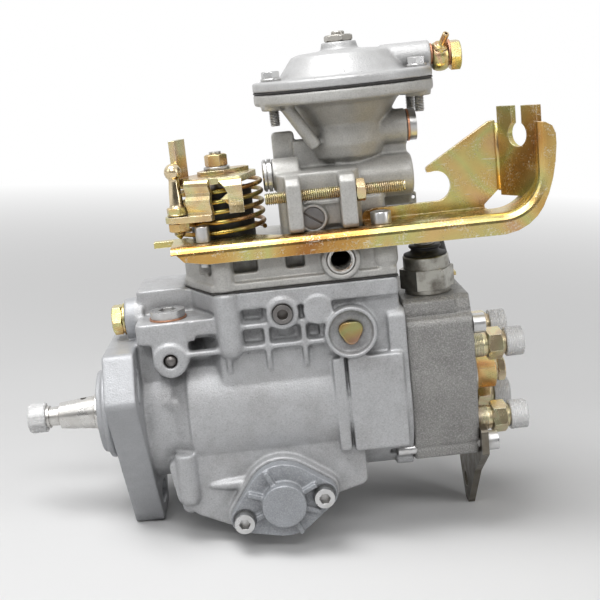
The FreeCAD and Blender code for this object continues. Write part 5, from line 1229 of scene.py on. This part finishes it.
# %% Floor material
paper, tree, surface = start_material("pale floor", Roughness=0.9)
seen = only_seen(tree)
tree.links.new(blend_colour(tree, seen, (0.34, 0.34, 0.34), (0.74, 0.74, 0.74)), surface.inputs["Base Color"])
where = place(tree, "TexCoord").outputs["Object"]
distance = place(tree, "VectorMath", {0: where}, operation="LENGTH").outputs["Value"]
far = arithmetic(tree, "MULTIPLY", spread(tree, distance, fade_from, fade_to), seen)
glow = place(tree, "Emission", {"Color": (1, 1, 1, 1), "Strength": 1.0})
mix = place(tree, "MixShader", {0: far, 1: surface.outputs[0], 2: glow.outputs[0]})
tree.links.new(mix.outputs[0], next(n for n in tree.nodes if n.type == "OUTPUT_MATERIAL").inputs["Surface"])
dress(floor, paper)
print("floor fades to white from", fade_from, "to", fade_to, "m")

# %% [markdown]
# Lamps
#
# One large soft box above does most of the work. Weaker ones at the left and the right round the
# sides, and a strip in front and above draws the bright band along the housing's barrel.

# %% Lamps
middle_of_pump = Vector((0.1, 0, 0.04))


def lamp(name, place_at, size, watts):
    """A rectangular soft box, aimed at the middle of the pump."""
    data = bpy.data.lights.new(name, "AREA")
    data.shape = "RECTANGLE"
    data.size, data.size_y = size
    data.energy = watts
    thing = bpy.data.objects.new(name, data)
    bpy.context.collection.objects.link(thing)
    thing.location = place_at
    thing.rotation_euler = (middle_of_pump - Vector(place_at)).to_track_quat("-Z", "Y").to_euler()


lamp("top softbox", (-0.15, -0.3, 1.2), (0.9, 0.6), 13)
lamp("left softbox", (-1.1, -0.7, 0.8), (0.7, 0.7), 2.6)
lamp("right softbox", (1.2, -0.7, 0.5), (0.4, 0.8), 3)
lamp("front strip", (0.05, -1.0, 0.85), (0.9, 0.2), 5.0)
print("lamps:", [light.name for light in bpy.data.lights])

# %% [markdown]
# World
#
# The world is plain white to the camera. Metal would look empty in an even white room, so reflections
# see it brighter above and behind, and darker below, and the light it gives is weak.

# %% World
world = bpy.data.worlds.new("studio")
bpy.context.scene.world = world
world.use_nodes = True
tree = world.node_tree
tree.nodes.clear()
ray = place(tree, "LightPath").outputs
heading = place(tree, "SeparateXYZ", {0: place(tree, "TexCoord").outputs["Generated"]}).outputs
lift = arithmetic(tree, "ADD", heading["Z"], arithmetic(tree, "MULTIPLY", heading["Y"], 0.5))
room = spread(tree, lift, -0.35, 0.80, 0.10, 1.0)
gathered = place(tree, "Mix", {0: ray["Is Glossy Ray"], 2: 0.15, 3: room}, data_type="FLOAT").outputs[0]
plain_view = arithmetic(tree, "MAXIMUM", ray["Is Camera Ray"], ray["Is Transmission Ray"])
level = place(tree, "Mix", {0: plain_view, 2: gathered, 3: 1.0}, data_type="FLOAT").outputs[0]
back = place(tree, "Background", {"Color": (1, 1, 1, 1), "Strength": level})
place(tree, "OutputWorld", {"Surface": back.outputs[0]})
bpy.context.scene.view_settings.view_transform = "Standard"
print("view transform:", bpy.context.scene.view_settings.view_transform)

# %% [markdown]
# Finish
#
# The size of the whole is written down before and after the work, to show that the visual pieces
# keep to the size of the measured solids.

# %% Measure and finish
def plain(box):
    return [[float(v) for v in corner] for corner in box]
